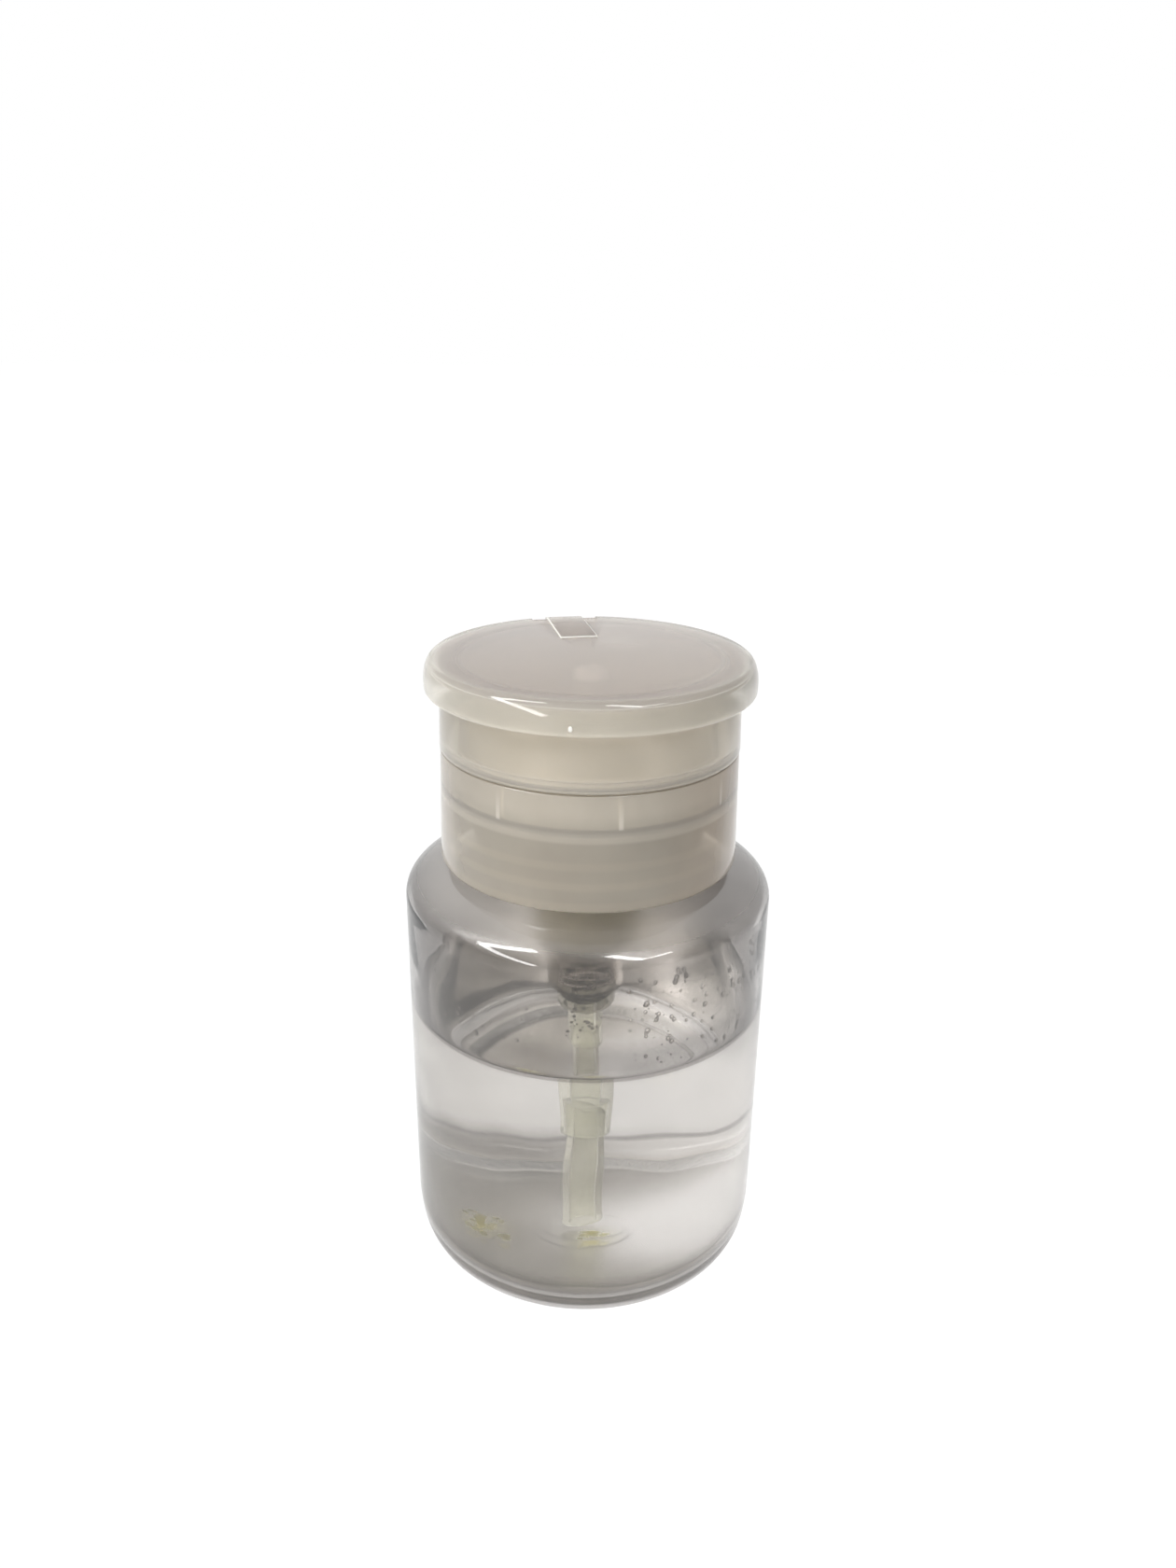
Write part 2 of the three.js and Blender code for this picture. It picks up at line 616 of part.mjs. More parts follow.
// The seat: a socket for the stem's end, a flange under the seal and a stub in the spring
function pistonSeat() {
  const bore = STEM_RADIUS + SLIP_GAP;
  const hub = bore + PISTON_HUB_WALL;
  return turnedRing([
    point(PISTON_PORT, pistonFlangeBottom - PISTON_STUB_LENGTH),
    point(PISTON_STUB_RADIUS, pistonFlangeBottom - PISTON_STUB_LENGTH),
    point(PISTON_STUB_RADIUS, pistonFlangeBottom),
    point(PISTON_FLANGE_RADIUS, pistonFlangeBottom),
    point(PISTON_FLANGE_RADIUS, pistonFlangeTop),
    point(hub, pistonFlangeTop),
    point(hub, sealTop - STACK_GAP),
    point(bore, sealTop - STACK_GAP),
    point(bore, pistonFlangeTop),
    point(PISTON_PORT, pistonFlangeTop),
  ], PUMP_FACETS);
}

// A nib that keeps the inlet ball under the spring's ledge
function inletNib(index) {
  const length = ballBore + BALL_CHAMBER_WALL / 2 - NIB_REACH;
  const nib = new THREE.BoxGeometry(length, NIB_WIDTH, springSeat - nibBottom);
  nib.translate(NIB_REACH + length / 2, 0, (springSeat + nibBottom) / 2);
  return solid(nib.rotateZ(index * 2 * Math.PI / NIB_COUNT));
}

// The housing: flange, barrel, spring chamber, ball chamber and the socket for the dip tube
function pumpHousing() {
  const flangeRadius = threadWallBore - FLANGE_CLEARANCE;
  let housing = turnedRing([
    ...pumpOutline(0).slice(2),
    point(flangeRadius, flangeBottom),
    point(flangeRadius, flangeTop),
    point(barrelBore, flangeTop),
    point(barrelBore, barrelBottom + TAPER_OFFSET),
    point(springBore, chamberTop + TAPER_OFFSET),
    point(springBore, springSeat),
    point(ballBore, springSeat),
    point(ballBore, inletApex + ballBore),
    point(INLET_PASSAGE, inletSeat),
    point(INLET_PASSAGE, tubeStop),
    point(TUBE_RADIUS + SLIP_GAP, tubeStop),
    point(TUBE_RADIUS + SLIP_GAP, socketBottom),
  ], PUMP_FACETS);
  for (let i = 0; i < NIB_COUNT; i += 1) {
    housing = housing.add(inletNib(i));
  }
  return housing;
}

// The flat ring between the neck and the housing's flange
function neckGasket() {
  return turnedRing([
    point(neckBore - GASKET_OVERLAP, gasketBottom),
    point(NECK_RADIUS, gasketBottom),
    point(NECK_RADIUS, gasketTop),
    point(neckBore - GASKET_OVERLAP, gasketTop),
  ], WIDE_FACETS);
}

// A plain tube from the housing's socket to just above the floor
function dipTube() {
  const bottom = floorTop + TUBE_FOOT_GAP;
  const top = tubeStop - STACK_GAP;
  return turnedRing([
    point(TUBE_RADIUS - TUBE_WALL, bottom),
    point(TUBE_RADIUS, bottom),
    point(TUBE_RADIUS, top),
    point(TUBE_RADIUS - TUBE_WALL, top),
  ], TUBE_FACETS);
}

// Points along the spring's wire, with a straight end one wire thick at each end
function springPath() {
  const low = springSeat + STACK_GAP + WIRE_DIAMETER / 2;
  const high = pistonFlangeBottom - STACK_GAP - WIRE_DIAMETER / 2;
  const steps = SPRING_COILS * STEPS_PER_COIL;
  const points = Array.from({ length: steps + 1 }, (_, i) => {
    const angle = 2 * Math.PI * i / STEPS_PER_COIL;
    const height = low + (high - low) * i / steps;
    return new THREE.Vector3(SPRING_RADIUS * Math.cos(angle), SPRING_RADIUS * Math.sin(angle), height);
  });
  const straight = new THREE.Vector3(0, WIRE_DIAMETER, 0);
  return [points[0].clone().sub(straight), ...points, points.at(-1).clone().add(straight)];
}

// Least gap between the wire and itself, measured between points at least half a coil apart
function leastSpringGap(path) {
  let least = Infinity;
  for (let i = 0; i < path.length; i += 1) {
    for (let j = i + STEPS_PER_COIL / 2; j < path.length; j += 1) {
      least = Math.min(least, path[i].distanceTo(path[j]) - WIRE_DIAMETER);
    }
  }
  return least;
}

// The spring: one unbroken wire, swept as rings of points along its path
function returnSpring() {
  const path = springPath();
  console.log('least gap of the spring to itself, mm:', leastSpringGap(path).toFixed(2));
  const positions = [];
  const up = new THREE.Vector3(0, 0, 1);
  path.forEach((at, i) => {
    const along = path[Math.min(i + 1, path.length - 1)].clone().sub(path[Math.max(i - 1, 0)]).normalize();
    const out = along.clone().cross(up).normalize();
    const rise = out.clone().cross(along);
    for (let side = 0; side < WIRE_SIDES; side += 1) {
      const angle = 2 * Math.PI * side / WIRE_SIDES;
      const corner = at.clone();
      corner.addScaledVector(out, WIRE_DIAMETER / 2 * Math.cos(angle));
      corner.addScaledVector(rise, WIRE_DIAMETER / 2 * Math.sin(angle));
      positions.push(...corner.toArray());
    }
  });
  const index = [];
  for (let ring = 0; ring + 1 < path.length; ring += 1) {
    for (let side = 0; side < WIRE_SIDES; side += 1) {
      const a = ring * WIRE_SIDES + side;
      const b = ring * WIRE_SIDES + (side + 1) % WIRE_SIDES;
      index.push(a, b, b + WIRE_SIDES, a, b + WIRE_SIDES, a + WIRE_SIDES);
    }
  }
  const lastRing = (path.length - 1) * WIRE_SIDES;
  for (let side = 1; side + 1 < WIRE_SIDES; side += 1) {
    index.push(0, side + 1, side, lastRing, lastRing + side, lastRing + side + 1);
  }
  const geometry = new THREE.BufferGeometry();
  geometry.setAttribute('position', new THREE.Float32BufferAttribute(positions, 3));
  geometry.setIndex(index);
  return solid(geometry);
}

// Finishes
const clearBottle = { color: 0xd9d2d2, roughness: 0.08, metalness: 0, transparent: true, opacity: 0.35 };
const clearLiquid = { color: 0xe6e4e0, roughness: 0.02, metalness: 0, transparent: true, opacity: 0.3 };
const milkyPlastic = { color: 0xc6c0b2, roughness: 0.38, metalness: 0, transparent: true, opacity: 0.8 };
const pumpPlastic = { color: 0xc4c2b6, roughness: 0.3, metalness: 0, transparent: true, opacity: 0.7 };
const paleNozzle = { color: 0xdad8ce, roughness: 0.35, metalness: 0 };
const sealPlastic = { color: 0xe4e2da, roughness: 0.5, metalness: 0 };
const gasketFoam = { color: 0xdcdad2, roughness: 0.8, metalness: 0 };
const springSteel = { color: 0x8d8c88, roughness: 0.25, metalness: 1 };

const assembly = new THREE.Group();
const hinged = new THREE.Group();
hinged.rotation.z = THREE.MathUtils.degToRad(HINGE_AZIMUTH);
assembly.add(hinged);

function place(group, name, body, finish) {
  const made = body.getMesh();
  const geometry = new THREE.BufferGeometry();
  geometry.setAttribute('position', new THREE.BufferAttribute(new Float32Array(made.vertProperties), 3));
  geometry.setIndex(new THREE.BufferAttribute(new Uint32Array(made.triVerts), 1));
  geometry.computeVertexNormals();
  const mesh = new THREE.Mesh(geometry, new THREE.MeshStandardMaterial(finish));
  mesh.name = name;
  group.add(mesh);
}

place(assembly, 'bottle', bottle(), clearBottle);
place(assembly, 'liquid_fill', liquid(), clearLiquid);
place(assembly, 'neck_gasket', neckGasket(), gasketFoam);
place(assembly, 'pump_housing', pumpHousing(), pumpPlastic);
place(assembly, 'dip_tube', dipTube(), pumpPlastic);
place(assembly, 'inlet_ball', ball(INLET_BALL_RADIUS, inletBallZ), springSteel);
place(assembly, 'chaplet', chaplet(), milkyPlastic);
place(assembly, 'return_spring', returnSpring(), springSteel);
place(assembly, 'piston_seat', pistonSeat(), pumpPlastic);
place(assembly, 'piston_seal', pistonSeal(), sealPlastic);
place(assembly, 'stem', stem(), milkyPlastic);
place(assembly, 'outlet_ball', ball(OUTLET_BALL_RADIUS, outletBallZ), springSteel);
place(assembly, 'press_dish', pressDish(), milkyPlastic);
place(assembly, 'outlet_nozzle', outletNozzle(), paleNozzle);
place(assembly, 'closure_skirt', closureSkirt(), milkyPlastic);
place(hinged, 'upper_ring', upperRing(), milkyPlastic);
place(hinged, 'hinge_pin', hingeRod(PIN_RADIUS, earOuter + PIN_END), milkyPlastic);
place(hinged, 'lid', lid(), milkyPlastic);

export default assembly;
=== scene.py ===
"""Looks of a push-down dispenser bottle with a flip lid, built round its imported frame."""

import json
import math
import random

import bmesh
import bpy
from mathutils import Matrix, Quaternion, Vector


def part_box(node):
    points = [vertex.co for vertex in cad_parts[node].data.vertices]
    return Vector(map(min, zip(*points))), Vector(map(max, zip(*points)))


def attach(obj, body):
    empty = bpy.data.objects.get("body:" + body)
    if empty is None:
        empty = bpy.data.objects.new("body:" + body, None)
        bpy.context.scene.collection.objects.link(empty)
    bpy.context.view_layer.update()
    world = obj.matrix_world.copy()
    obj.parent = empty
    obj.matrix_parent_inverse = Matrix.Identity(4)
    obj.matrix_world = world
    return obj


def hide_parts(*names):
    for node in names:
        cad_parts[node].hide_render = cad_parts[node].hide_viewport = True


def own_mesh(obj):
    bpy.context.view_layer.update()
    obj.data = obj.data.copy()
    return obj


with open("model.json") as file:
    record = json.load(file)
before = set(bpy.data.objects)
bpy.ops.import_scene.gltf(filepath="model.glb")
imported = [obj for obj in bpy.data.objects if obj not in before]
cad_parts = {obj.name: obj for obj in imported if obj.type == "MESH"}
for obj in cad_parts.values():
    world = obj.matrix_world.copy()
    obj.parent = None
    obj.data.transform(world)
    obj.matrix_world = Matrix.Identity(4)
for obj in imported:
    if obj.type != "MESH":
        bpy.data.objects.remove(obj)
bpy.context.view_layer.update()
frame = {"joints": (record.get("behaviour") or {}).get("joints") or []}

MM = 0.001
FULL_TURN = 2 * math.pi

# Steps round the wide pieces, round the pump, along an arc and along a curved outline
WIDE_STEPS = 144
PUMP_STEPS = 72
ARC_STEPS = 4
CURVE_STEPS = 28
SHARP_ANGLE = math.radians(32)


def low(node):
    """Lowest height of a node, in millimetres."""
    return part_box(node)[0].z / MM


def high(node):
    """Highest height of a node, in millimetres."""
    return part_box(node)[1].z / MM


def reach(node):
    """Radius of a node that is turned about the bottle's axis, in millimetres."""
    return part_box(node)[1].x / MM


# Camera: the photograph's focal length in pixels of its frame, its place and its aim
PHOTO_HEIGHT = 1680
PHOTO_FOCAL = 1262
SENSOR = 36
CAMERA_PLACE = (-0.2, -176.7, 151.3)
CAMERA_TILT = 68.42
CAMERA_ROLL = 0.79

# Stage: floor, and the world's light on the left and on the right
FLOOR_RADIUS = 4
FLOOR_GLOW = 1.09
FLOOR_GLOW_SHARE = 0.88
LIGHT_LEFT = 0.52
LIGHT_RIGHT = 0.24
LAMP_AIM = (0, 0, 0.06)
LAMP_DISTANCE = 0.9

# Bottle, in millimetres
BODY_RADIUS = reach("bottle")
NECK_TOP = high("bottle")
BODY_WALL = 0.9
BODY_HEIGHT = 63.4
HEEL_INSET = 1.6
HEEL_HEIGHT = 7.5
HEEL_FILLET = 4
STANDING_RING_WIDTH = 4
PUSH_UP = 0.8
PUSH_UP_SLOPE = 1.2
FLOOR_TOP = 2
FLOOR_BOSS_RADIUS = 5
FLOOR_BOSS_RISE = 0.25
SHOULDER_RISE = 7.1
SHOULDER_EXPONENT = 2.33
CROWN_RADIUS = 4.8
NECK_RADIUS = 15.4
NECK_BORE = 14
THREAD_PITCH = 3.175
NECK_THREAD_DEPTH = 1.1
# Centre of the painted light on the bottle's floor, in millimetres
FLOOR_PAINTED_LIGHT_CENTRE = (15, 2)
WALL_WOBBLE = 0.045
THREAD_START = 72.6

# Stains on the bottle's floor: centre, width, spread of the flecks on it and their number
STAINS = (((-12.4, -2.5), 6, (1.3, 2.2), 26), ((1, -3.4), 5, (1.2, 0.7), 14))

# Liquid
LIQUID_LEVEL = high("liquid_fill")
LIQUID_OVERLAP = 0.1
MENISCUS_RISE = 0.9
MENISCUS_REACH = 1.1
BALL_PLAY = 0.1
BORE_LEVEL_RADIUS = 1.95
BORE_LEVEL_DROP = 0.83
BUBBLE_COUNT = 22

# Drops on the inner wall: from one azimuth to another, in degrees to the right of the front, and their number
DROP_ZONES = ((12, 80, 210), (-76, -14, 60), (110, 250, 30))

# Pump
SOCKET_BORE = 2.45
SOCKET_RADIUS = 3.15
SOCKET_BOTTOM = 21.4
SOCKET_STOP = 27.4
PASSAGE_BORE = 1.6
BALL_SEAT = 38
CUP_BORE = 3.9
CUP_RADIUS = 5.1
CUP_BOTTOM = 36.3
SPRING_SEAT = 45.5
CHAMBER_BORE = 5.4
CHAMBER_RADIUS = 6.65
BARREL_BORE = 7.7
BARREL_RADIUS = 9
BARREL_BOTTOM = 54.5
FLANGE_RADIUS = 16.2
FLANGE_BOTTOM = 80.4
FLANGE_TOP = 81.7
NIB_COUNT = 3
STEM_RADIUS = 3.3

# Closure
SKIRT_RADIUS = 23.65
SKIRT_BOTTOM = low("closure_skirt")
SKIRT_TOP = high("closure_skirt")
SKIRT_WALL = 1.5
SKIRT_DRAFT = 0.4
DECK_BOTTOM = 81.8
DECK_TOP = 83.2
DECK_HOLE = 9.8
THREAD_WALL_BORE = 16.8
THREAD_WALL_RADIUS = 18.3
THREAD_WALL_BOTTOM = 71.5
CLOSURE_THREAD_DEPTH = 1.1
SPIGOT_BOTTOM = low("upper_ring")
SPIGOT_BORE = 20.65
SPIGOT_RADIUS = 21.75
SHELF_BOTTOM = 89
SHELF_TOP = 90.3
BAND_RADIUS = SKIRT_RADIUS + 0.15
BAND_BORE = BAND_RADIUS - 1.5
BAND_DRAFT = 0.35
RING_TOP = 101.2
RIB_COUNT = 8
RIB_AZIMUTH = 11.2
RIB_WIDTH = 0.5
RIB_OUTER = 22.05
RIB_SINK = 0.4
RIB_TOP = 88.5
EDGE_ROUND = 0.3
# Painted shade in the seam between the skirt and the ring
SEAM_PAINTED_SHADE = (0.44, 0.405, 0.35)

# Lid and its hinge
HINGE = next(j for j in frame["joints"] if j["name"] == "lid_flip")
HINGE_TURN = math.atan2(-HINGE["pos_m"][0], HINGE["pos_m"][1])
HINGE_Y = math.hypot(HINGE["pos_m"][0], HINGE["pos_m"][1]) / MM
HINGE_Z = HINGE["pos_m"][2] / MM
LEAF_TOP = high("lid")
LID_TOP = 103.1
RIM_BOTTOM = LID_TOP - 5
LID_UNDER = 101.8
LID_RADIUS = 25.9
LID_RIM_BORE = 24.4
LID_EDGE_RISE = 3.4
LID_EDGE_INSET = 1.4
LID_LIP_ROUND = 0.7
SEAL_RING_RADIUS = 21.2
SEAL_RING_BORE = 20.2
SEAL_RING_BOTTOM = 100.6
LEAF_WIDTH = 6.2
LEAF_FRONT = 9.7
LEAF_SKIN = 0.9
LEAF_WALL = 1
KNUCKLE_RADIUS = 1.5
STRAP_ROUND = 4
EAR_RADIUS = 1.6
EAR_INNER = 3.45
EAR_OUTER = 5.25
EAR_GAP = 0.35
EAR_ROOT_Y = 22.6
EAR_ROOT_DROP = 3.3
SLOT_INNER = 23
PIN_RADIUS = 0.75
PIN_BORE = 0.85
# A small pale nub on the lid's rim: its azimuth in degrees and its height
PALE_DOT_AZIMUTH = -6
PALE_DOT_HEIGHT = 99.5
# Centre of a wet smear on the lid, painted paler as its sheen
WET_SMEAR_SHEEN = (5.5, 7.5)

# Refractive indices, in air or against the liquid round a piece
PET_INDEX = 1.57
LIQUID_INDEX = 1.36
PLASTIC_INDEX = 1.49
WET_PLASTIC_INDEX = 1.1
BUBBLE_INDEX = 1.2
RESIDUE_INDEX = 1.01

# Lamplight that passes through a piece: its share and its tint
PET_LIGHT = (1, (0.93, 0.92, 0.92))
LIQUID_LIGHT = (1, (0.98, 0.98, 0.97))
MILKY_LIGHT = (0.6, (0.9, 0.88, 0.82))
PUMP_LIGHT = (0.6, (0.9, 0.9, 0.85))
RESIDUE_LIGHT = (0.8, (0.95, 0.94, 0.85))


# Shapes


def rounded(points, closed):
    """An outline whose corners are arcs where a point gives a radius after its radius and height."""
    made = []
    last = len(points) - 1
    for i, corner in enumerate(points):
        here = Vector(corner[:2])
        radius = corner[2] if len(corner) > 2 else 0
        if not radius or (not closed and i in (0, last)):
            made.append(here)
            continue
        before = Vector(points[i - 1][:2]) - here
        after = Vector(points[(i + 1) % len(points)][:2]) - here
        trim = radius / math.tan(before.angle(after) / 2)
        trim = min(trim, before.length * 0.49, after.length * 0.49)
        start = here + before.normalized() * trim
        end = here + after.normalized() * trim
        for step in range(ARC_STEPS + 1):
            t = step / ARC_STEPS
            made.append((1 - t) ** 2 * start + 2 * t * (1 - t) * here + t * t * end)
    return made


def quarter(centre, across, up, steps):
    """Points along a quarter of an ellipse, from its wide end to its high end."""
    angles = [i / steps * math.pi / 2 for i in range(steps + 1)]
    return [(centre[0] + across * math.cos(a), centre[1] + up * math.sin(a)) for a in angles]


def piece_from(name, form):
    """A linked object from a bmesh, with smooth faces that break at sharp edges."""
    bmesh.ops.remove_doubles(form, verts=form.verts, dist=1e-7)
    bmesh.ops.recalc_face_normals(form, faces=form.faces)
    mesh = bpy.data.meshes.new(name)
    form.to_mesh(mesh)
    form.free()
    piece = bpy.data.objects.new(name, mesh)
    bpy.context.scene.collection.objects.link(piece)
    smooth(piece)
    return piece


def smooth(piece):
    piece.data.shade_smooth()
    piece.data.set_sharp_from_angle(angle=SHARP_ANGLE)


def polar(form, radius, angle, height):
    """A new point at a radius and a height in millimetres."""
    return form.verts.new((radius * MM * math.cos(angle), radius * MM * math.sin(angle), height * MM))


def skin(form, rows):
    """Joins rows of points to a tube with closed ends."""
    for a, b in zip(rows, rows[1:]):
        for k in range(len(a)):
            n = (k + 1) % len(a)
            form.faces.new((a[k], a[n], b[n], b[k]))
    form.faces.new(rows[0])
    form.faces.new(list(reversed(rows[-1])))


def turned(name, points, steps=WIDE_STEPS, closed=True, offset=None):
    """A profile of radius and height turned about Z. offset(angle, radius, height) moves a point outwards."""
    form = bmesh.new()
    rings = []
    for radius, height in rounded(points, closed):
        if radius < 1e-6:
            rings.append([form.verts.new((0, 0, height * MM))])
            continue
        ring = []
        for k in range(steps):
            angle = FULL_TURN * k / steps
            r = radius + (offset(angle, radius, height) if offset else 0)
            ring.append(polar(form, r, angle, height))
        rings.append(ring)
    pairs = list(zip(rings, rings[1:]))
    if closed:
        pairs.append((rings[-1], rings[0]))
    for a, b in pairs:
        for k in range(steps):
            n = (k + 1) % steps
            corners = [a[k % len(a)], a[n % len(a)], b[n % len(b)], b[k % len(b)]]
            corners = list(dict.fromkeys(corners))
            if len(corners) > 2:
                form.faces.new(corners)
    return piece_from(name, form)


def block(name, corner, opposite):
    """A box between two corners, in millimetres."""
    form = bmesh.new()
    bmesh.ops.create_cube(form, size=1)
    size = [(b - a) * MM for a, b in zip(corner, opposite)]
    middle = [(a + b) / 2 * MM for a, b in zip(corner, opposite)]
    form.transform(Matrix.Translation(middle) @ Matrix.Diagonal((*size, 1)))
    return piece_from(name, form)


def prism(name, outline, from_x, to_x, bevel=0):
    """A plate whose outline is drawn in Y and Z, from one X to another, with its sharp edges bevelled."""
    form = bmesh.new()
    sides = [[form.verts.new((x * MM, y * MM, z * MM)) for y, z in outline] for x in (from_x, to_x)]
    form.faces.new(sides[0])
    form.faces.new(list(reversed(sides[1])))
    for i in range(len(outline)):
        j = (i + 1) % len(outline)
        form.faces.new((sides[0][j], sides[0][i], sides[1][i], sides[1][j]))
    bmesh.ops.recalc_face_normals(form, faces=form.faces)
    if bevel:
        edges = [e for e in form.edges if e.calc_face_angle(0) > SHARP_ANGLE]
        bmesh.ops.bevel(form, geom=edges, offset=bevel * MM, segments=2, affect="EDGES", profile=0.5)
    return piece_from(name, form)


def rod(name, radius, half_length, bevel=0):
    """A rod along X on the hinge axis."""
    steps = range(PUMP_STEPS // 2)
    angles = [FULL_TURN * i / len(steps) for i in steps]
    outline = [(HINGE_Y + radius * math.cos(a), HINGE_Z + radius * math.sin(a)) for a in angles]
    return prism(name, outline, -half_length, half_length, bevel)


def carve(piece, tool, operation):
    """Cuts a tool from a piece or joins it, and removes the tool."""
    change = piece.modifiers.new("carve", "BOOLEAN")
    change.operation = operation
    change.object = tool
    change.solver = "EXACT"
    graph = bpy.context.evaluated_depsgraph_get()
    mesh = bpy.data.meshes.new_from_object(piece.evaluated_get(graph))
    piece.modifiers.clear()
    piece.data = mesh
    bpy.data.objects.remove(tool)


def turn_to_hinge(piece):
    """Turns a piece that was drawn with its hinge at +Y to the hinge's azimuth."""
    piece.data.transform(Matrix.Rotation(HINGE_TURN, 4, "Z"))


def arc(centre, radius, start, end, steps=10):
    """Points of an arc in Y and Z, with its angles in degrees."""
    angles = [math.radians(start + (end - start) * i / steps) for i in range(steps + 1)]
    return [(centre[0] + radius * math.cos(a), centre[1] + radius * math.sin(a)) for a in angles]


def helix_ridge(name, radius, depth, start, turns, steps=WIDE_STEPS):
    """A screw thread on a wall, outwards for a positive depth, sunk a little and faded at both ends."""
    sink = -0.15 if depth > 0 else 0.15
    foot_half, crest_half, fade = 0.95, 0.4, 0.12
    form = bmesh.new()
    rows = []
    count = int(turns * steps)
    for i in range(count + 1):
        t = i / count
        rise = min(1, t / fade, (1 - t) / fade)
        grow = max(0.05, math.sin(rise * math.pi / 2))
        angle = FULL_TURN * turns * t
        z = start + THREAD_PITCH * turns * t
        section = [(radius + sink, -foot_half), (radius + depth * grow, -crest_half * grow),
                   (radius + depth * grow, crest_half * grow), (radius + sink, foot_half)]
        rows.append([polar(form, r, angle, z + dz) for r, dz in section])
    skin(form, rows)
    return piece_from(name, form)


# Materials


def new_material(name):
    made = bpy.data.materials.new(name)
    made.use_nodes = True
    return made, made.node_tree


def put(value, socket):
    """Links a socket, or sets it to a number or a colour."""
    if isinstance(value, bpy.types.NodeSocket):
        socket.id_data.links.new(value, socket)
    else:
        socket.default_value = (*value, 1) if isinstance(value, tuple) else value


def combined(operation, first, second):
    """A share put together with another share or a number."""
    node = first.id_data.nodes.new("ShaderNodeMath")
    node.operation = operation
    put(first, node.inputs[0])
    put(second, node.inputs[1])
    return node.outputs["Value"]


def times(first, second):
    """The product of a share and another share or a number."""
    return combined("MULTIPLY", first, second)


def spread(value, ends, results=(0, 1), eased=True):
    """A value mapped from one pair of ends to another, eased or straight."""
    node = value.id_data.nodes.new("ShaderNodeMapRange")
    node.interpolation_type = "SMOOTHSTEP" if eased else "LINEAR"
    for name, number in zip(("From Min", "From Max", "To Min", "To Max"), (*ends, *results)):
        node.inputs[name].default_value = number
    put(value, node.inputs["Value"])
    return node.outputs["Result"]


def own_place(tree):
    """Places in the object's own space."""
    return tree.nodes.new("ShaderNodeTexCoord").outputs["Object"]


def mottle(tree, scale, least=0, most=1, detail=3):
    """A soft noise in the object's own space, spread over a range."""
    noise = tree.nodes.new("ShaderNodeTexNoise")
    noise.inputs["Scale"].default_value = scale
    noise.inputs["Detail"].default_value = detail
    put(own_place(tree), noise.inputs["Vector"])
    return spread(noise.outputs["Fac"], (0.3, 0.7), (least, most), eased=False)


def along(tree, axis, from_mm, to_mm):
    """0 up to one place on an axis and 1 from another on, smooth between them."""
    parts = tree.nodes.new("ShaderNodeSeparateXYZ")
    put(own_place(tree), parts.inputs["Vector"])
    return spread(parts.outputs[axis], (from_mm * MM, to_mm * MM))


def off_axis(tree, from_mm, to_mm, centre=(0, 0)):
    """0 up to one distance from an upright axis, by default the bottle's, and 1 from another on."""
    flat = tree.nodes.new("ShaderNodeVectorMath")
    flat.operation = "MULTIPLY_ADD"
    flat.inputs[1].default_value = (1, 1, 0)
    flat.inputs[2].default_value = (-centre[0] * MM, -centre[1] * MM, 0)
    put(own_place(tree), flat.inputs[0])
    length = tree.nodes.new("ShaderNodeVectorMath")
    length.operation = "LENGTH"
    put(flat.outputs["Vector"], length.inputs[0])
    return spread(length.outputs["Value"], (from_mm * MM, to_mm * MM))


def line_at(tree, height, half, soft=0.3):
    """1 along a level line on a piece, 0 away from it."""
    below = along(tree, "Z", height - half - soft, height - half)
    return times(below, along(tree, "Z", height + half + soft, height + half))


def at_the_edge(tree, start=0.7, end=0.97):
    """0 where a surface is seen squarely, 1 where it is seen on edge, through more of its wall."""
    weight = tree.nodes.new("ShaderNodeLayerWeight")
    return spread(weight.outputs["Facing"], (start, end))


def mixed(share, first, second):
    """A colour between two, each a colour or a socket."""
    mix = share.id_data.nodes.new("ShaderNodeMix")
    mix.data_type = "RGBA"
    put(share, mix.inputs["Factor"])
    put(first, mix.inputs[6])
    put(second, mix.inputs[7])
    return mix.outputs[2]


def blend(share, first, second, output="Material Output"):
    """Sends a mix of two shaders to the output."""
    tree = share.id_data
    mix = tree.nodes.new("ShaderNodeMixShader")
    put(share, mix.inputs["Fac"])
    put(first, mix.inputs[1])
    put(second, mix.inputs[2])
    put(mix.outputs["Shader"], tree.nodes[output].inputs["Surface"])


def add_bump(tree, scale, depth_mm, detail=2):
    bump = tree.nodes.new("ShaderNodeBump")
    bump.inputs["Distance"].default_value = depth_mm * MM
    put(mottle(tree, scale, detail=detail), bump.inputs["Height"])
    put(bump.outputs["Normal"], tree.nodes["Principled BSDF"].inputs["Normal"])


def coat(tree, colour, rough):
    """Sets a material's colour and roughness."""
    shader = tree.nodes["Principled BSDF"]
    put(colour, shader.inputs["Base Color"])
    put(rough, shader.inputs["Roughness"])
    return shader


def finish(made, colour, rough, see_through, index, light):
    """Completes a see-through material, which lets a share of the lamplight through, with a tint."""
    tree = made.node_tree
    shader = coat(tree, colour, rough)
    shader.inputs["Transmission Weight"].default_value = see_through
    shader.inputs["IOR"].default_value = index
    path = tree.nodes.new("ShaderNodeLightPath")
    clear = tree.nodes.new("ShaderNodeBsdfTransparent")
    clear.inputs["Color"].default_value = (*light[1], 1)
    share = times(path.outputs["Is Shadow Ray"], light[0])
    blend(share, shader.outputs["BSDF"], clear.outputs["BSDF"])
    return made


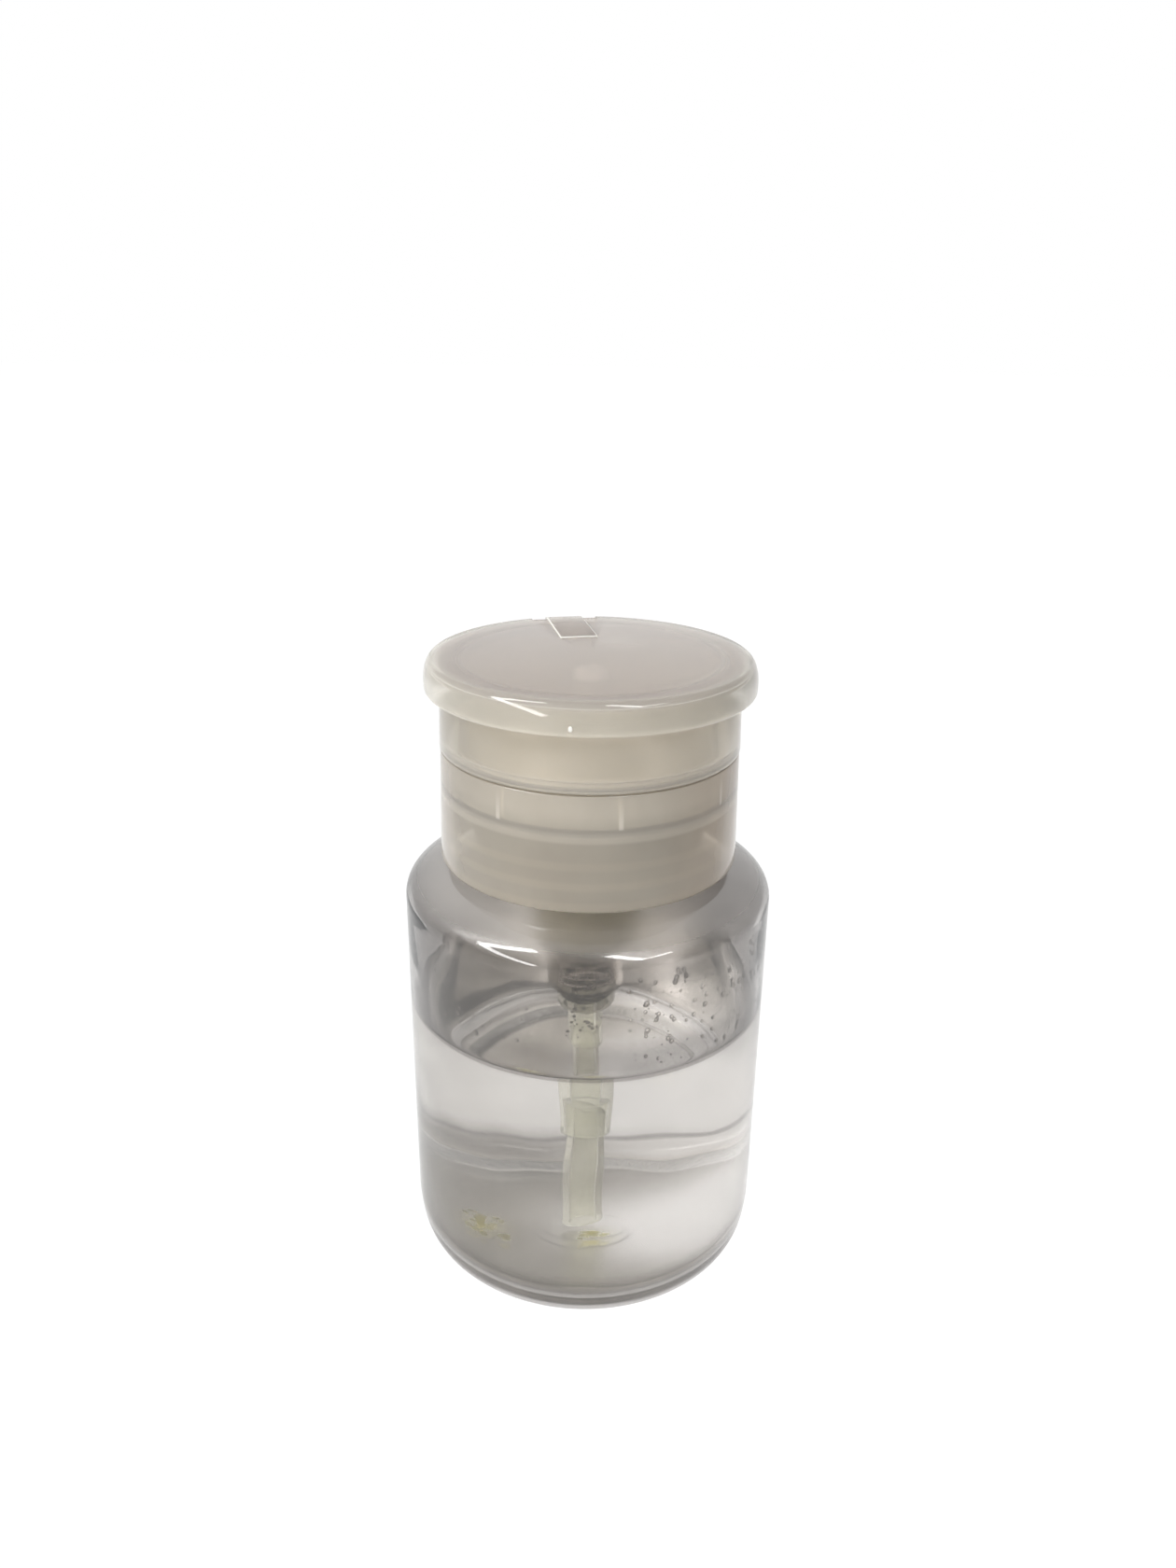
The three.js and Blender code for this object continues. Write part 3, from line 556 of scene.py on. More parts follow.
def floor_stains_and_painted_light(tree):
    """The bottle's floor: clouded, with painted light at the right, painted shade towards the front, and
    yellow stains.
    """
    cloudy = mixed(mottle(tree, 110), (0.44, 0.415, 0.375), (0.62, 0.59, 0.54))
    # Painted light: a bright patch on the floor at the right
    tint = mixed(off_axis(tree, 24, 9, FLOOR_PAINTED_LIGHT_CENTRE), cloudy, (0.98, 0.97, 0.96))
    # Painted shade: the floor duller towards the front
    to_front = times(along(tree, "Y", -8, -20), 0.4)
    tint = mixed(to_front, tint, (0.4, 0.375, 0.33))
    for centre, width, *_ in STAINS:
        spot = times(off_axis(tree, width, 0, centre), mottle(tree, 240, 0.3, 1))
        tint = mixed(spot, tint, (0.80, 0.77, 0.50))
    return tint


def liquid_wall_painted_shade(tree):
    """The wall beside the liquid, grey with painted shade, darker low down at the left and pale low down at
    the right.
    """
    to_right = along(tree, "X", -0.8 * BODY_RADIUS, 0.4 * BODY_RADIUS)
    low_wall = mixed(to_right, (0.64, 0.625, 0.60), (1, 0.99, 0.985))
    wall = mixed(mottle(tree, 45), (0.665, 0.65, 0.635), (0.725, 0.71, 0.695))
    return mixed(along(tree, "Z", 18, 28), low_wall, wall)


def low_stains_and_painted_shade(tree, base):
    """All that is below the liquid's level, with painted shade: a dark heel, paler at the back right, a dark
    line along the foot of the back and a dark arc at the back left of the floor's edge.
    """
    # Painted shade: a dark heel, with painted light at the back right
    heel = times(off_axis(tree, 25.5, 28), along(tree, "Z", HEEL_HEIGHT + 1, FLOOR_TOP + 1))
    to_back = along(tree, "Y", -5, 10)
    back_right = times(to_back, along(tree, "X", -8, 10))
    heel_tint = mixed(to_back, (0.23, 0.212, 0.2), (0.32, 0.303, 0.28))
    heel_tint = mixed(back_right, heel_tint, (0.85, 0.83, 0.81))
    tint = mixed(heel, mixed(base, floor_stains_and_painted_light(tree), liquid_wall_painted_shade(tree)), heel_tint)
    # Painted shade: a dark line along the foot of the back
    back_line = times(line_at(tree, 0.66 * HEEL_HEIGHT, 0.1, 0.45), to_back)
    tint = mixed(times(back_line, 0.8), tint, (0.28, 0.265, 0.26))
    # Painted shade: a very dark arc at the back left of the floor's edge
    floor_rim = times(off_axis(tree, 21.8, 23), off_axis(tree, 26.2, 25.5))
    floor_rim = times(times(floor_rim, to_back), along(tree, "X", 16, -4))
    return mixed(times(floor_rim, 0.9), tint, (0.1, 0.095, 0.088))


def upper_wall_painted_shade(tree):
    """The wall above the liquid, grey with painted shade, with painted light on the shoulder and in the
    middle of the front.
    """
    tint = mixed(mottle(tree, 38), (0.35, 0.335, 0.325), (0.57, 0.55, 0.535))
    # Painted light: a paler shoulder, fading at the right
    on_shoulder = along(tree, "Z", BODY_HEIGHT + 1, BODY_HEIGHT + 5)
    tint = mixed(times(on_shoulder, along(tree, "X", 22, 4)), tint, (0.82, 0.795, 0.765))
    # Painted light: a paler patch in the middle of the front
    middle = times(line_at(tree, LIQUID_LEVEL + 11, 2.5, 4), off_axis(tree, 26, 12, (5, -30)))
    return mixed(times(middle, 0.8), tint, (0.8, 0.775, 0.75))


def clear_pet(name, shoulder_blur):
    """Clear blown plastic, grey with painted shade above the liquid and fogged on the shoulder, clouded and
    stained at the base with painted light and shade, and with painted shade on edge.
    """
    made, tree = new_material(name)
    above = along(tree, "Z", LIQUID_LEVEL - 0.5, LIQUID_LEVEL + 2.5)
    base = along(tree, "Z", FLOOR_TOP + 0.2, FLOOR_TOP + HEEL_FILLET)
    clear = mixed(above, low_stains_and_painted_shade(tree, base), upper_wall_painted_shade(tree))
    # Painted shade on the edges, darker above the liquid, where the wall is seen through more of its
    # thickness
    dark = mixed(above, (0.36, 0.345, 0.335), (0.20, 0.19, 0.185))
    edge = times(at_the_edge(tree), along(tree, "Z", HEEL_HEIGHT, 2 * HEEL_HEIGHT))
    clouded = spread(base, (0, 1), (0.2, 0.02), eased=False)
    fog = times(along(tree, "Z", BODY_HEIGHT - 0.5, BODY_HEIGHT + 3.5), shoulder_blur)
    rough = combined("MAXIMUM", clouded, fog)
    add_bump(tree, 75, 0.03, 1)
    return finish(made, mixed(edge, clear, dark), rough, 1, PET_INDEX, PET_LIGHT)


def clear_liquid():
    """Clear liquid, with painted shade where it climbs the wall in a thin edge."""
    made, tree = new_material("clear_liquid")
    # Painted shade: a dark line where the liquid climbs the wall
    edge = along(tree, "Z", LIQUID_LEVEL + 0.1, LIQUID_LEVEL + 0.4)
    clear = mixed(mottle(tree, 40), (0.95, 0.945, 0.93), (0.98, 0.975, 0.965))
    colour = mixed(edge, clear, (0.4, 0.38, 0.37))
    return finish(made, colour, 0, 1, LIQUID_INDEX, LIQUID_LIGHT)


def finish_milky(made, colour, see_through, blur):
    """Completes a milky plastic."""
    rough = mottle(made.node_tree, 60, blur - 0.03, blur + 0.03)
    return finish(made, colour, rough, see_through, PLASTIC_INDEX, MILKY_LIGHT)


def milky_plastic(name, dark, light, see_through, blur, patch_scale):
    """Natural polypropylene: milky, half see-through, with flow marks."""
    made, tree = new_material(name)
    colour = mixed(mottle(tree, patch_scale), dark, light)
    return finish_milky(made, colour, see_through, blur)


def skirt_plastic():
    """The skirt's milky plastic, with painted light and shade: paler where the ring's spigot doubles the
    wall, where its thread, ribs and deck show through and on edge, darker at the left and the right.
    """
    made, tree = new_material("milky_pp_skirt")
    marks = mottle(tree, 90)
    # Painted shade: darker towards the left
    to_left = times(along(tree, "X", -8, -22), 0.5)
    single = mixed(marks, (0.47, 0.43, 0.366), (0.52, 0.482, 0.413))
    doubled = mixed(marks, (0.667, 0.615, 0.529), (0.727, 0.675, 0.585))
    # Painted light: paler where the ring's spigot doubles the wall behind
    share = along(tree, "Z", SPIGOT_BOTTOM - 2, SPIGOT_BOTTOM + 3)
    colour = mixed(to_left, mixed(share, single, doubled), (0.43, 0.40, 0.348))
    # Painted light: paler lines where the thread behind shows through the wall
    for turn in range(3):
        thread = line_at(tree, THREAD_WALL_BOTTOM + turn * THREAD_PITCH, 0.25, 0.7)
        colour = mixed(times(thread, 0.35), colour, (0.585, 0.533, 0.443))
    # Painted shade: browner and darker towards the right
    colour = mixed(times(along(tree, "X", 8, 22), 0.45), colour, (0.5, 0.39, 0.28))
    # Painted light: paler where the wall is seen on edge
    colour = mixed(times(at_the_edge(tree, 0.6, 0.66), 0.4), colour, (0.69, 0.632, 0.585))
    # Painted light: pale lines where the ribs behind show through the wall
    at_ribs = times(along(tree, "Z", SPIGOT_BOTTOM, SPIGOT_BOTTOM + 0.3),
                    along(tree, "Z", RIB_TOP, SPIGOT_BOTTOM + 0.5))
    for i in range(RIB_COUNT):
        azimuth = math.radians(RIB_AZIMUTH + i * 360 / RIB_COUNT)
        centre = (SKIRT_RADIUS * math.sin(azimuth), -SKIRT_RADIUS * math.cos(azimuth))
        rib = times(at_ribs, off_axis(tree, 0.5, 0.2, centre))
        colour = mixed(times(rib, 0.75), colour, (0.9, 0.855, 0.77))
    # Painted light: a paler line where the deck meets the wall behind
    deck = line_at(tree, (DECK_BOTTOM + DECK_TOP) / 2 - 0.2, 0.5, 0.6)
    colour = mixed(times(deck, 0.35), colour, (0.8, 0.75, 0.66))
    # Painted shade: a dark line at the seam
    seam = along(tree, "Z", SKIRT_TOP - 0.15, SKIRT_TOP - 0.05)
    return finish_milky(made, mixed(seam, colour, SEAM_PAINTED_SHADE), 0.6, 0.1)


def ring_plastic():
    """The upper ring's milky plastic, darker at the left with painted shade, with a painted highlight on the
    lip over the painted dark seam and a wet film inside its band.
    """
    made, tree = new_material("milky_pp_ring")
    marks = mottle(tree, 70)
    # Painted shade: darker towards the left
    to_right = along(tree, "X", -22, -6)
    colour = mixed(to_right, mixed(marks, (0.57, 0.535, 0.47), (0.67, 0.635, 0.56)),
                   mixed(marks, (0.79, 0.74, 0.65), (0.91, 0.855, 0.76)))
    film = times(mottle(tree, 150, detail=1), line_at(tree, (SHELF_TOP + RIM_BOTTOM) / 2, 2.4, 1.2))
    colour = mixed(times(film, 0.35), colour, (0.64, 0.59, 0.505))
    # Painted highlight: a pale line on the lip over the seam
    lip = line_at(tree, SHELF_BOTTOM + 1.2, 0.7, 0.4)
    colour = mixed(times(lip, 0.5), colour, (0.99, 0.94, 0.85))
    # Painted shade: a dark line at the seam
    seam = along(tree, "Z", SHELF_BOTTOM + 0.15, SHELF_BOTTOM + 0.05)
    return finish_milky(made, mixed(seam, colour, SEAM_PAINTED_SHADE), 0.74, 0.07)


def lid_plastic():
    """The lid's milky plastic, a little pink on its flat top, with painted light round its thick rim, where
    the seal ring shows through and on its lower lip, painted shade on the rim at the right, and a wet smear
    with a painted sheen.
    """
    made, tree = new_material("milky_pp_lid")
    marks = mottle(tree, 60)
    flat = mixed(marks, (0.60, 0.545, 0.505), (0.64, 0.585, 0.54))
    # Painted light: the thick rim paler than the flat top
    rim = mixed(marks, (0.70, 0.675, 0.615), (0.76, 0.735, 0.675))
    # Painted shade: the rim darker towards the right
    rim = mixed(times(along(tree, "X", 10, 25), 0.6), rim, (0.52, 0.50, 0.455))
    share = off_axis(tree, LID_RADIUS - 3, LID_RADIUS - LID_EDGE_INSET)
    # A wet smear with a painted sheen: paler streaks on the flat top
    smear_sheen = times(off_axis(tree, 6, 1, WET_SMEAR_SHEEN), mottle(tree, 260, detail=2))
    flat = mixed(times(smear_sheen, 0.6), flat, (0.80, 0.765, 0.72))
    # Painted light: a paler arc where the seal ring below shows through
    seal = times(off_axis(tree, SEAL_RING_BORE - 0.5, SEAL_RING_BORE + 0.3), along(tree, "X", 8, 16))
    seal = times(seal, off_axis(tree, SEAL_RING_RADIUS + 0.5, SEAL_RING_RADIUS - 0.3))
    flat = mixed(times(seal, 0.5), flat, (0.74, 0.71, 0.66))
    colour = mixed(share, flat, rim)
    # Painted light: a paler band along the rim's lower lip
    lip = along(tree, "Z", RIM_BOTTOM + 0.9, RIM_BOTTOM + 0.5)
    return finish_milky(made, mixed(times(lip, 0.6), colour, (0.95, 0.93, 0.87)), 0.76, 0.1)


def pump_plastic(name, index, blur, see_through, dark, light):
    """The pump's clearer polypropylene, with the index that it has against what surrounds it."""
    made, tree = new_material(name)
    colour = mixed(mottle(tree, 140), dark, light)
    return finish(made, colour, mottle(tree, 80, blur, blur + 0.06), see_through, index, PUMP_LIGHT)


def chamber_plastic():
    """The clear wall round the spring, with painted shade where it thickens at its foot and at its top."""
    made, tree = new_material("pump_pp_clear")
    wall = mixed(mottle(tree, 140), (0.90, 0.86, 0.82), (0.97, 0.93, 0.89))
    # Painted shade: dark bands at the chamber's foot and top
    wall = mixed(along(tree, "Z", SPRING_SEAT + 1.5, SPRING_SEAT + 0.5), wall, (0.55, 0.525, 0.48))
    wall = mixed(along(tree, "Z", BARREL_BOTTOM - 2.5, BARREL_BOTTOM - 1.5), wall, (0.5, 0.475, 0.435))
    return finish(made, wall, mottle(tree, 80, 0.02, 0.06), 1, PLASTIC_INDEX, PUMP_LIGHT)


def matte_plastic(name, dark, light, least_rough, most_rough, grain):
    """Soft plastic with a fine grain."""
    made, tree = new_material(name)
    colour = mixed(mottle(tree, grain / 3), dark, light)
    coat(tree, colour, mottle(tree, grain, least_rough, most_rough))
    add_bump(tree, grain * 2, 0.02)
    return made


def spring_steel():
    made, tree = new_material("spring_steel")
    colour = mixed(mottle(tree, 400), (0.66, 0.645, 0.63), (0.84, 0.825, 0.80))
    coat(tree, colour, mottle(tree, 1500, 0.18, 0.34)).inputs["Metallic"].default_value = 1
    return made


def clear_drops(name, dark, light, index):
    """Drops or bubbles of a clear liquid."""
    made, tree = new_material(name)
    colour = mixed(mottle(tree, 300), dark, light)
    return finish(made, colour, 0, 1, index, LIQUID_LIGHT)


def yellow_residue():
    """A soft yellowish deposit under the liquid."""
    made, tree = new_material("yellow_residue")
    colour = mixed(mottle(tree, 700), (0.86, 0.845, 0.66), (0.94, 0.93, 0.82))
    return finish(made, colour, mottle(tree, 900, 0.5, 0.8), 1, RESIDUE_INDEX, RESIDUE_LIGHT)


PET = clear_pet("clear_pet", 0)
PET_FOGGED = clear_pet("clear_pet_fogged", 0.32)
LIQUID = clear_liquid()
MILKY = milky_plastic("milky_pp", (0.72, 0.68, 0.595), (0.80, 0.76, 0.675), 0.55, 0.14, 90)
SKIRT_MILKY = skirt_plastic()
RING_MILKY = ring_plastic()
LID_MILKY = lid_plastic()
PUMP_DRY = pump_plastic("pump_pp", PLASTIC_INDEX, 0.06, 0.8, (0.7, 0.675, 0.585), (0.765, 0.74, 0.655))
PUMP_CLEAR = chamber_plastic()
# Painted shade: the pump's cup below the liquid is tinted dark
PUMP_CUP_SHADE = pump_plastic("pump_pp_cup_painted_shade", WET_PLASTIC_INDEX, 0.02, 1, (0.18, 0.168, 0.14), (0.25, 0.235, 0.2))
PUMP_WET = pump_plastic("pump_pp_wet", WET_PLASTIC_INDEX, 0.15, 0.85, (0.82, 0.82, 0.745), (0.89, 0.89, 0.82))
PALE = milky_plastic("pale_pp", (0.80, 0.79, 0.75), (0.86, 0.85, 0.81), 0.1, 0.35, 200)
SEAL = matte_plastic("seal_pe", (0.74, 0.73, 0.69), (0.82, 0.81, 0.77), 0.42, 0.55, 600)
FOAM = matte_plastic("gasket_foam", (0.72, 0.71, 0.67), (0.84, 0.83, 0.79), 0.75, 0.9, 1800)
STEEL = spring_steel()
DROPS = clear_drops("clear_drops", (0.78, 0.765, 0.75), (0.97, 0.96, 0.95), LIQUID_INDEX)
# Painted shade: the bubbles are tinted dark
BUBBLES_PAINTED_DARK = clear_drops("bubbles", (0.16, 0.15, 0.14), (0.5, 0.48, 0.45), BUBBLE_INDEX)
RESIDUE = yellow_residue()


def dress(piece, body, slot, *materials, replaces=None):
    """Gives a piece its materials, its body and the node that it stands for; its record slot is not used."""
    piece.data.materials.clear()
    for material in materials:
        piece.data.materials.append(material)
    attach(piece, body)
    if replaces:
        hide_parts(replaces)


# Bottle and liquid


def shoulder_height(radius, wall):
    share = abs(radius - CROWN_RADIUS) / (BODY_RADIUS - wall - CROWN_RADIUS)
    rest = max(0, 1 - share ** SHOULDER_EXPONENT)
    return BODY_HEIGHT + (SHOULDER_RISE - wall) * rest ** (1 / SHOULDER_EXPONENT)


def shoulder(to_radius, wall):
    span = BODY_RADIUS - wall - CROWN_RADIUS
    last = math.acos((to_radius - CROWN_RADIUS) / span)
    radii = [CROWN_RADIUS + span * math.cos(last * i / CURVE_STEPS) for i in range(CURVE_STEPS + 1)]
    return [(r, shoulder_height(r, wall)) for r in radii]


def heel_inside(wall, floor):
    centre = (BODY_RADIUS - wall - HEEL_FILLET, floor + HEEL_FILLET)
    return list(reversed(quarter(centre, HEEL_FILLET, -HEEL_FILLET, CURVE_STEPS // 2)))


def blown_wobble(angle, radius, height):
    """The slight unevenness of the inner wall, left by blowing."""
    inner = BODY_RADIUS - BODY_WALL
    if abs(radius - inner) > 0.01:
        return 0
    wave = math.sin(3 * angle + 0.11 * height) + 0.6 * math.sin(7 * angle - 0.23 * height + 1.3)
    fine = 0.35 * math.sin(13 * angle + 0.4 * height + 0.7)
    return WALL_WOBBLE * (wave + fine)


def make_bottle():
    base = BODY_RADIUS - HEEL_INSET
    ring_inner = base - STANDING_RING_WIDTH
    heel = list(reversed(quarter((base, HEEL_HEIGHT), HEEL_INSET, -HEEL_HEIGHT, CURVE_STEPS // 2)))
    inner = BODY_RADIUS - BODY_WALL
    wall_rows = [(inner, BODY_HEIGHT - (BODY_HEIGHT - FLOOR_TOP - HEEL_FILLET) * i / CURVE_STEPS)
                 for i in range(1, CURVE_STEPS)]
    outline = [
        (0, PUSH_UP),
        (ring_inner - PUSH_UP_SLOPE, PUSH_UP, 1.5),
        (ring_inner, 0, 0.6),
        *heel,
        *shoulder(NECK_RADIUS, 0),
        (NECK_RADIUS, NECK_TOP, 0.25),
        (NECK_BORE, NECK_TOP, 0.25),
        *reversed(shoulder(NECK_BORE, BODY_WALL)),
        *wall_rows,
        *reversed(heel_inside(BODY_WALL, FLOOR_TOP)),
        (FLOOR_BOSS_RADIUS + 0.6, FLOOR_TOP, 0.4),
        (FLOOR_BOSS_RADIUS, FLOOR_TOP + FLOOR_BOSS_RISE, 0.4),
        (0, FLOOR_TOP + FLOOR_BOSS_RISE),
    ]
    bottle = turned("bottle_shell", outline, closed=False, offset=blown_wobble)
    dress(bottle, "bottle_body", "clear_pet", PET, PET_FOGGED, replaces="bottle")
    for face in bottle.data.polygons:
        faces_in = face.normal.z < -0.05 or face.normal.dot(face.center * Vector((1, 1, 0))) < 0
        face.material_index = int(faces_in and face.center.z / MM > LIQUID_LEVEL)
    thread = helix_ridge("neck_thread", NECK_RADIUS, NECK_THREAD_DEPTH, THREAD_START, 1.5)
    dress(thread, "bottle_body", "clear_pet", PET)


def liquid_top(radius):
    """Height of the liquid's surface, which climbs a little at the wall."""
    inner = BODY_RADIUS - BODY_WALL
    return LIQUID_LEVEL + MENISCUS_RISE * math.exp(-(inner - radius) / MENISCUS_REACH)


def make_liquid():
    wall = BODY_WALL - LIQUID_OVERLAP
    inner = BODY_RADIUS - wall
    surface = [inner - 8 * (i / CURVE_STEPS) ** 2 for i in range(CURVE_STEPS + 1)]
    outline = [
        (0, FLOOR_TOP + FLOOR_BOSS_RISE - LIQUID_OVERLAP),
        (FLOOR_BOSS_RADIUS, FLOOR_TOP + FLOOR_BOSS_RISE - LIQUID_OVERLAP, 0.4),
        (FLOOR_BOSS_RADIUS + 0.6, FLOOR_TOP - LIQUID_OVERLAP, 0.4),
        *heel_inside(wall, FLOOR_TOP - LIQUID_OVERLAP),
        *[(r, liquid_top(r)) for r in surface],
        (BORE_LEVEL_RADIUS, LIQUID_LEVEL),
        (BORE_LEVEL_RADIUS - 0.45, LIQUID_LEVEL - 0.5),
        (BORE_LEVEL_RADIUS - 0.45, LIQUID_LEVEL - BORE_LEVEL_DROP),
        (0, LIQUID_LEVEL - BORE_LEVEL_DROP),
    ]
    liquid = turned("liquid_body", outline, closed=False)
    dress(liquid, "bottle_body", "clear_liquid", LIQUID, replaces="liquid_fill")


def scatter(name, body, slot, material, drops):
    """Drops as one piece: for each its place in millimetres, its way outwards and its half sizes."""
    form = bmesh.new()
    for place, outward, size in drops:
        made = bmesh.ops.create_icosphere(form, subdivisions=2, radius=1)
        turn = Vector(outward).to_track_quat("Z", "Y").to_matrix().to_4x4()
        stretch = Matrix.Diagonal((*[v * MM for v in size], 1))
        spot = Matrix.Translation(Vector(place) * MM)
        bmesh.ops.transform(form, verts=made["verts"], matrix=spot @ turn @ stretch)
    dress(piece_from(name, form), body, slot, material)


def make_drops():
    """Drops on the inside of the wall above the liquid, most of them at the front right."""
    chance = random.Random(11)
    drops = []
    for first, last, count in DROP_ZONES:
        for _ in range(count):
            azimuth = math.radians(chance.uniform(first, last))
            height = LIQUID_LEVEL + 2 + 16 * chance.random() ** 0.8
            across = 0.13 + 0.36 * chance.random() ** 2.2
            outward = Vector((-math.sin(azimuth), math.cos(azimuth), 0))
            place = -outward * (BODY_RADIUS - BODY_WALL + 0.02) + Vector((0, 0, height))
            drops.append((place, outward, (across, across * chance.uniform(0.9, 1.2), across * 0.6)))
    scatter("wall_drops", "bottle_body", "clear_liquid", DROPS, drops)


def make_bubbles():
    """Small bubbles afloat in front of the pump."""
    chance = random.Random(5)
    bubbles = []
    for _ in range(BUBBLE_COUNT):
        place = (chance.gauss(-1.2, 1.5), chance.gauss(-13.5, 2), LIQUID_LEVEL)
        half = chance.uniform(0.17, 0.4)
        bubbles.append((place, (0, 0, 1), (half, half, half * 0.7)))
    scatter("surface_bubbles", "bottle_body", "clear_liquid", BUBBLES_PAINTED_DARK, bubbles)


def make_residue():
    """Yellowish flecks that settled on the floor, at the left and round the tube's foot."""
    chance = random.Random(3)
    flecks = []
    height = FLOOR_TOP + FLOOR_BOSS_RISE
    for centre, _, extent, count in STAINS:
        for _ in range(count):
            place = (chance.gauss(centre[0], extent[0]), chance.gauss(centre[1], extent[1]), height)
            half = chance.uniform(0.25, 0.8)
            flecks.append((place, (0, 0, 1), (half, half * chance.uniform(0.6, 1.4), 0.18)))
    scatter("floor_residue", "bottle_body", "clear_liquid", RESIDUE, flecks)


# Pump


def sleeve(bore, radius, bottom, top, edge):
    """Outline of a plain ring or tube with rounded edges."""
    return [(bore, bottom, edge), (radius, bottom, edge), (radius, top, edge), (bore, top, edge)]


def make_housing():
    """Socket for the tube, valve cup, spring chamber and barrel, in steps up to the flange on the neck."""
    outline = [
        (SOCKET_BORE, SOCKET_BOTTOM, 0.15), (SOCKET_RADIUS, SOCKET_BOTTOM, 0.3),
        (SOCKET_RADIUS, CUP_BOTTOM), (CUP_RADIUS, CUP_BOTTOM + 1.5, 0.4),
        (CUP_RADIUS, SPRING_SEAT - 1.2, 0.5), (CHAMBER_RADIUS, SPRING_SEAT - 0.3, 0.5),
        (CHAMBER_RADIUS, BARREL_BOTTOM - 1.5, 0.5), (BARREL_RADIUS, BARREL_BOTTOM, 0.8),
        (BARREL_RADIUS, FLANGE_BOTTOM, 0.4), (FLANGE_RADIUS, FLANGE_BOTTOM, 0.2),
        (FLANGE_RADIUS, FLANGE_TOP, 0.2), (BARREL_BORE, FLANGE_TOP, 0.3),
        (BARREL_BORE, BARREL_BOTTOM + 0.8, 0.4), (CHAMBER_BORE, BARREL_BOTTOM - 0.7, 0.4),
        (CHAMBER_BORE, SPRING_SEAT, 0.2), (CUP_BORE, SPRING_SEAT, 0.2),
        (CUP_BORE, BALL_SEAT + 2.3, 0.3), (PASSAGE_BORE, BALL_SEAT, 0.2),
        (PASSAGE_BORE, SOCKET_STOP, 0.1), (SOCKET_BORE, SOCKET_STOP, 0.1),
    ]
    housing = turned("pump_barrel", outline, PUMP_STEPS)
    for i in range(NIB_COUNT):
        nib = block("nib", (1.9, -0.6, SPRING_SEAT - 1.35), (4.5, 0.6, SPRING_SEAT))
        nib.data.transform(Matrix.Rotation(FULL_TURN * i / NIB_COUNT, 4, "Z"))
        carve(housing, nib, "UNION")
    smooth(housing)
    dress(housing, "pump_body", "pump_pp", PUMP_DRY, PUMP_CLEAR, PUMP_CUP_SHADE, PUMP_WET, replaces="pump_housing")
    zone_tops = (BARREL_BOTTOM + 0.1, LIQUID_LEVEL + 0.2, CUP_BOTTOM + 0.7)
    for face in housing.data.polygons:
        face.material_index = sum(face.center.z / MM < top for top in zone_tops)


def make_dip_tube():
    """The dip tube, cut on a slant at both ends."""
    low_end, high_end = low("dip_tube"), high("dip_tube")
    bore, radius, low_slant, high_slant = 1.45, 2.35, 1.5, 1.8
    tube = turned("suction_tube", sleeve(bore, radius, low_end, high_end, 0.1), PUMP_STEPS)
    for vertex in tube.data.vertices:
        share = (vertex.co.x / MM + radius) / (2 * radius)
        if vertex.co.z > (high_end - 1) * MM:
            vertex.co.z -= high_slant * share * MM
        elif vertex.co.z < (low_end + 1) * MM:
            vertex.co.z += low_slant * share * MM
    smooth(tube)
    dress(tube, "pump_body", "pump_pp", PUMP_WET, replaces="dip_tube")


def make_spring():
    """A wire coil with closed ends, as one tube."""
    foot, head = low("return_spring"), high("return_spring")
    wire, mean, coils, closed_share = 0.4, 4.6, 10, 0.08
    steps, sides = 32, 10
    form = bmesh.new()
    rings = []
    count = coils * steps
    for i in range(count + 1):
        t = i / count
        angle = FULL_TURN * coils * t
        eased = min(max((t - closed_share / 2) / (1 - closed_share), 0), 1)
        z = foot + wire + (head - foot - 2 * wire) * (0.9 * eased + 0.1 * t)
        ring = []
        for k in range(sides):
            a = FULL_TURN * k / sides
            ring.append(polar(form, mean + wire * math.cos(a), angle, z + wire * math.sin(a)))
        rings.append(ring)
    skin(form, rings)
    spring = piece_from("coil_spring", form)
    dress(spring, "pump_body", "spring_steel", STEEL, replaces="return_spring")
    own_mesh(spring)


def make_ball(name, node, body):
    lowest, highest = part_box(node)
    form = bmesh.new()
    radius = (highest.z - lowest.z) / 2 - BALL_PLAY * MM
    bmesh.ops.create_icosphere(form, subdivisions=4, radius=radius)
    form.transform(Matrix.Translation((lowest + highest) / 2))
    dress(piece_from(name, form), body, "spring_steel", STEEL, replaces=node)


def make_piston():
    """The sliding cup, the core that holds it and takes the spring, and the hollow stem."""
    seal = turned("piston_cup", [
        (4.3, 69.25, 0.1), (7.6, 69.25, 0.1), (7, 70.45, 0.4), (7, 73.75, 0.4), (7.6, 74.95, 0.1),
        (4.3, 74.95, 0.1)], PUMP_STEPS)
    dress(seal, "actuator_body", "seal_pe", SEAL, replaces="piston_seal")
    seat = turned("piston_core", [
        (1.5, 65.55, 0.2), (STEM_RADIUS, 65.55, 0.4), (STEM_RADIUS, 67.55, 0.1), (6.4, 67.55, 0.2),
        (6.4, 69.15, 0.2), (4.2, 69.15, 0.1), (4.2, 74.85, 0.1), (3.4, 74.85, 0.1), (3.4, 69.15, 0.1),
        (1.5, 69.15, 0.1)], PUMP_STEPS)
    dress(seat, "actuator_body", "pump_pp", PUMP_DRY, replaces="piston_seat")
    stem = turned("pump_stem", [
        (1.3, 69.25, 0.2), (STEM_RADIUS, 69.25, 0.2), (STEM_RADIUS, 75.05, 0.1), (5, 75.05, 0.2),
        (5, 76.25, 0.2), (STEM_RADIUS, 76.25, 0.1), (STEM_RADIUS, 94.1, 0.2), (2.25, 94.1, 0.1),
        (2.25, 91.2, 0.1), (1.3, 90.25, 0.1)], PUMP_STEPS)
    dress(stem, "actuator_body", "milky_pp", MILKY, replaces="stem")


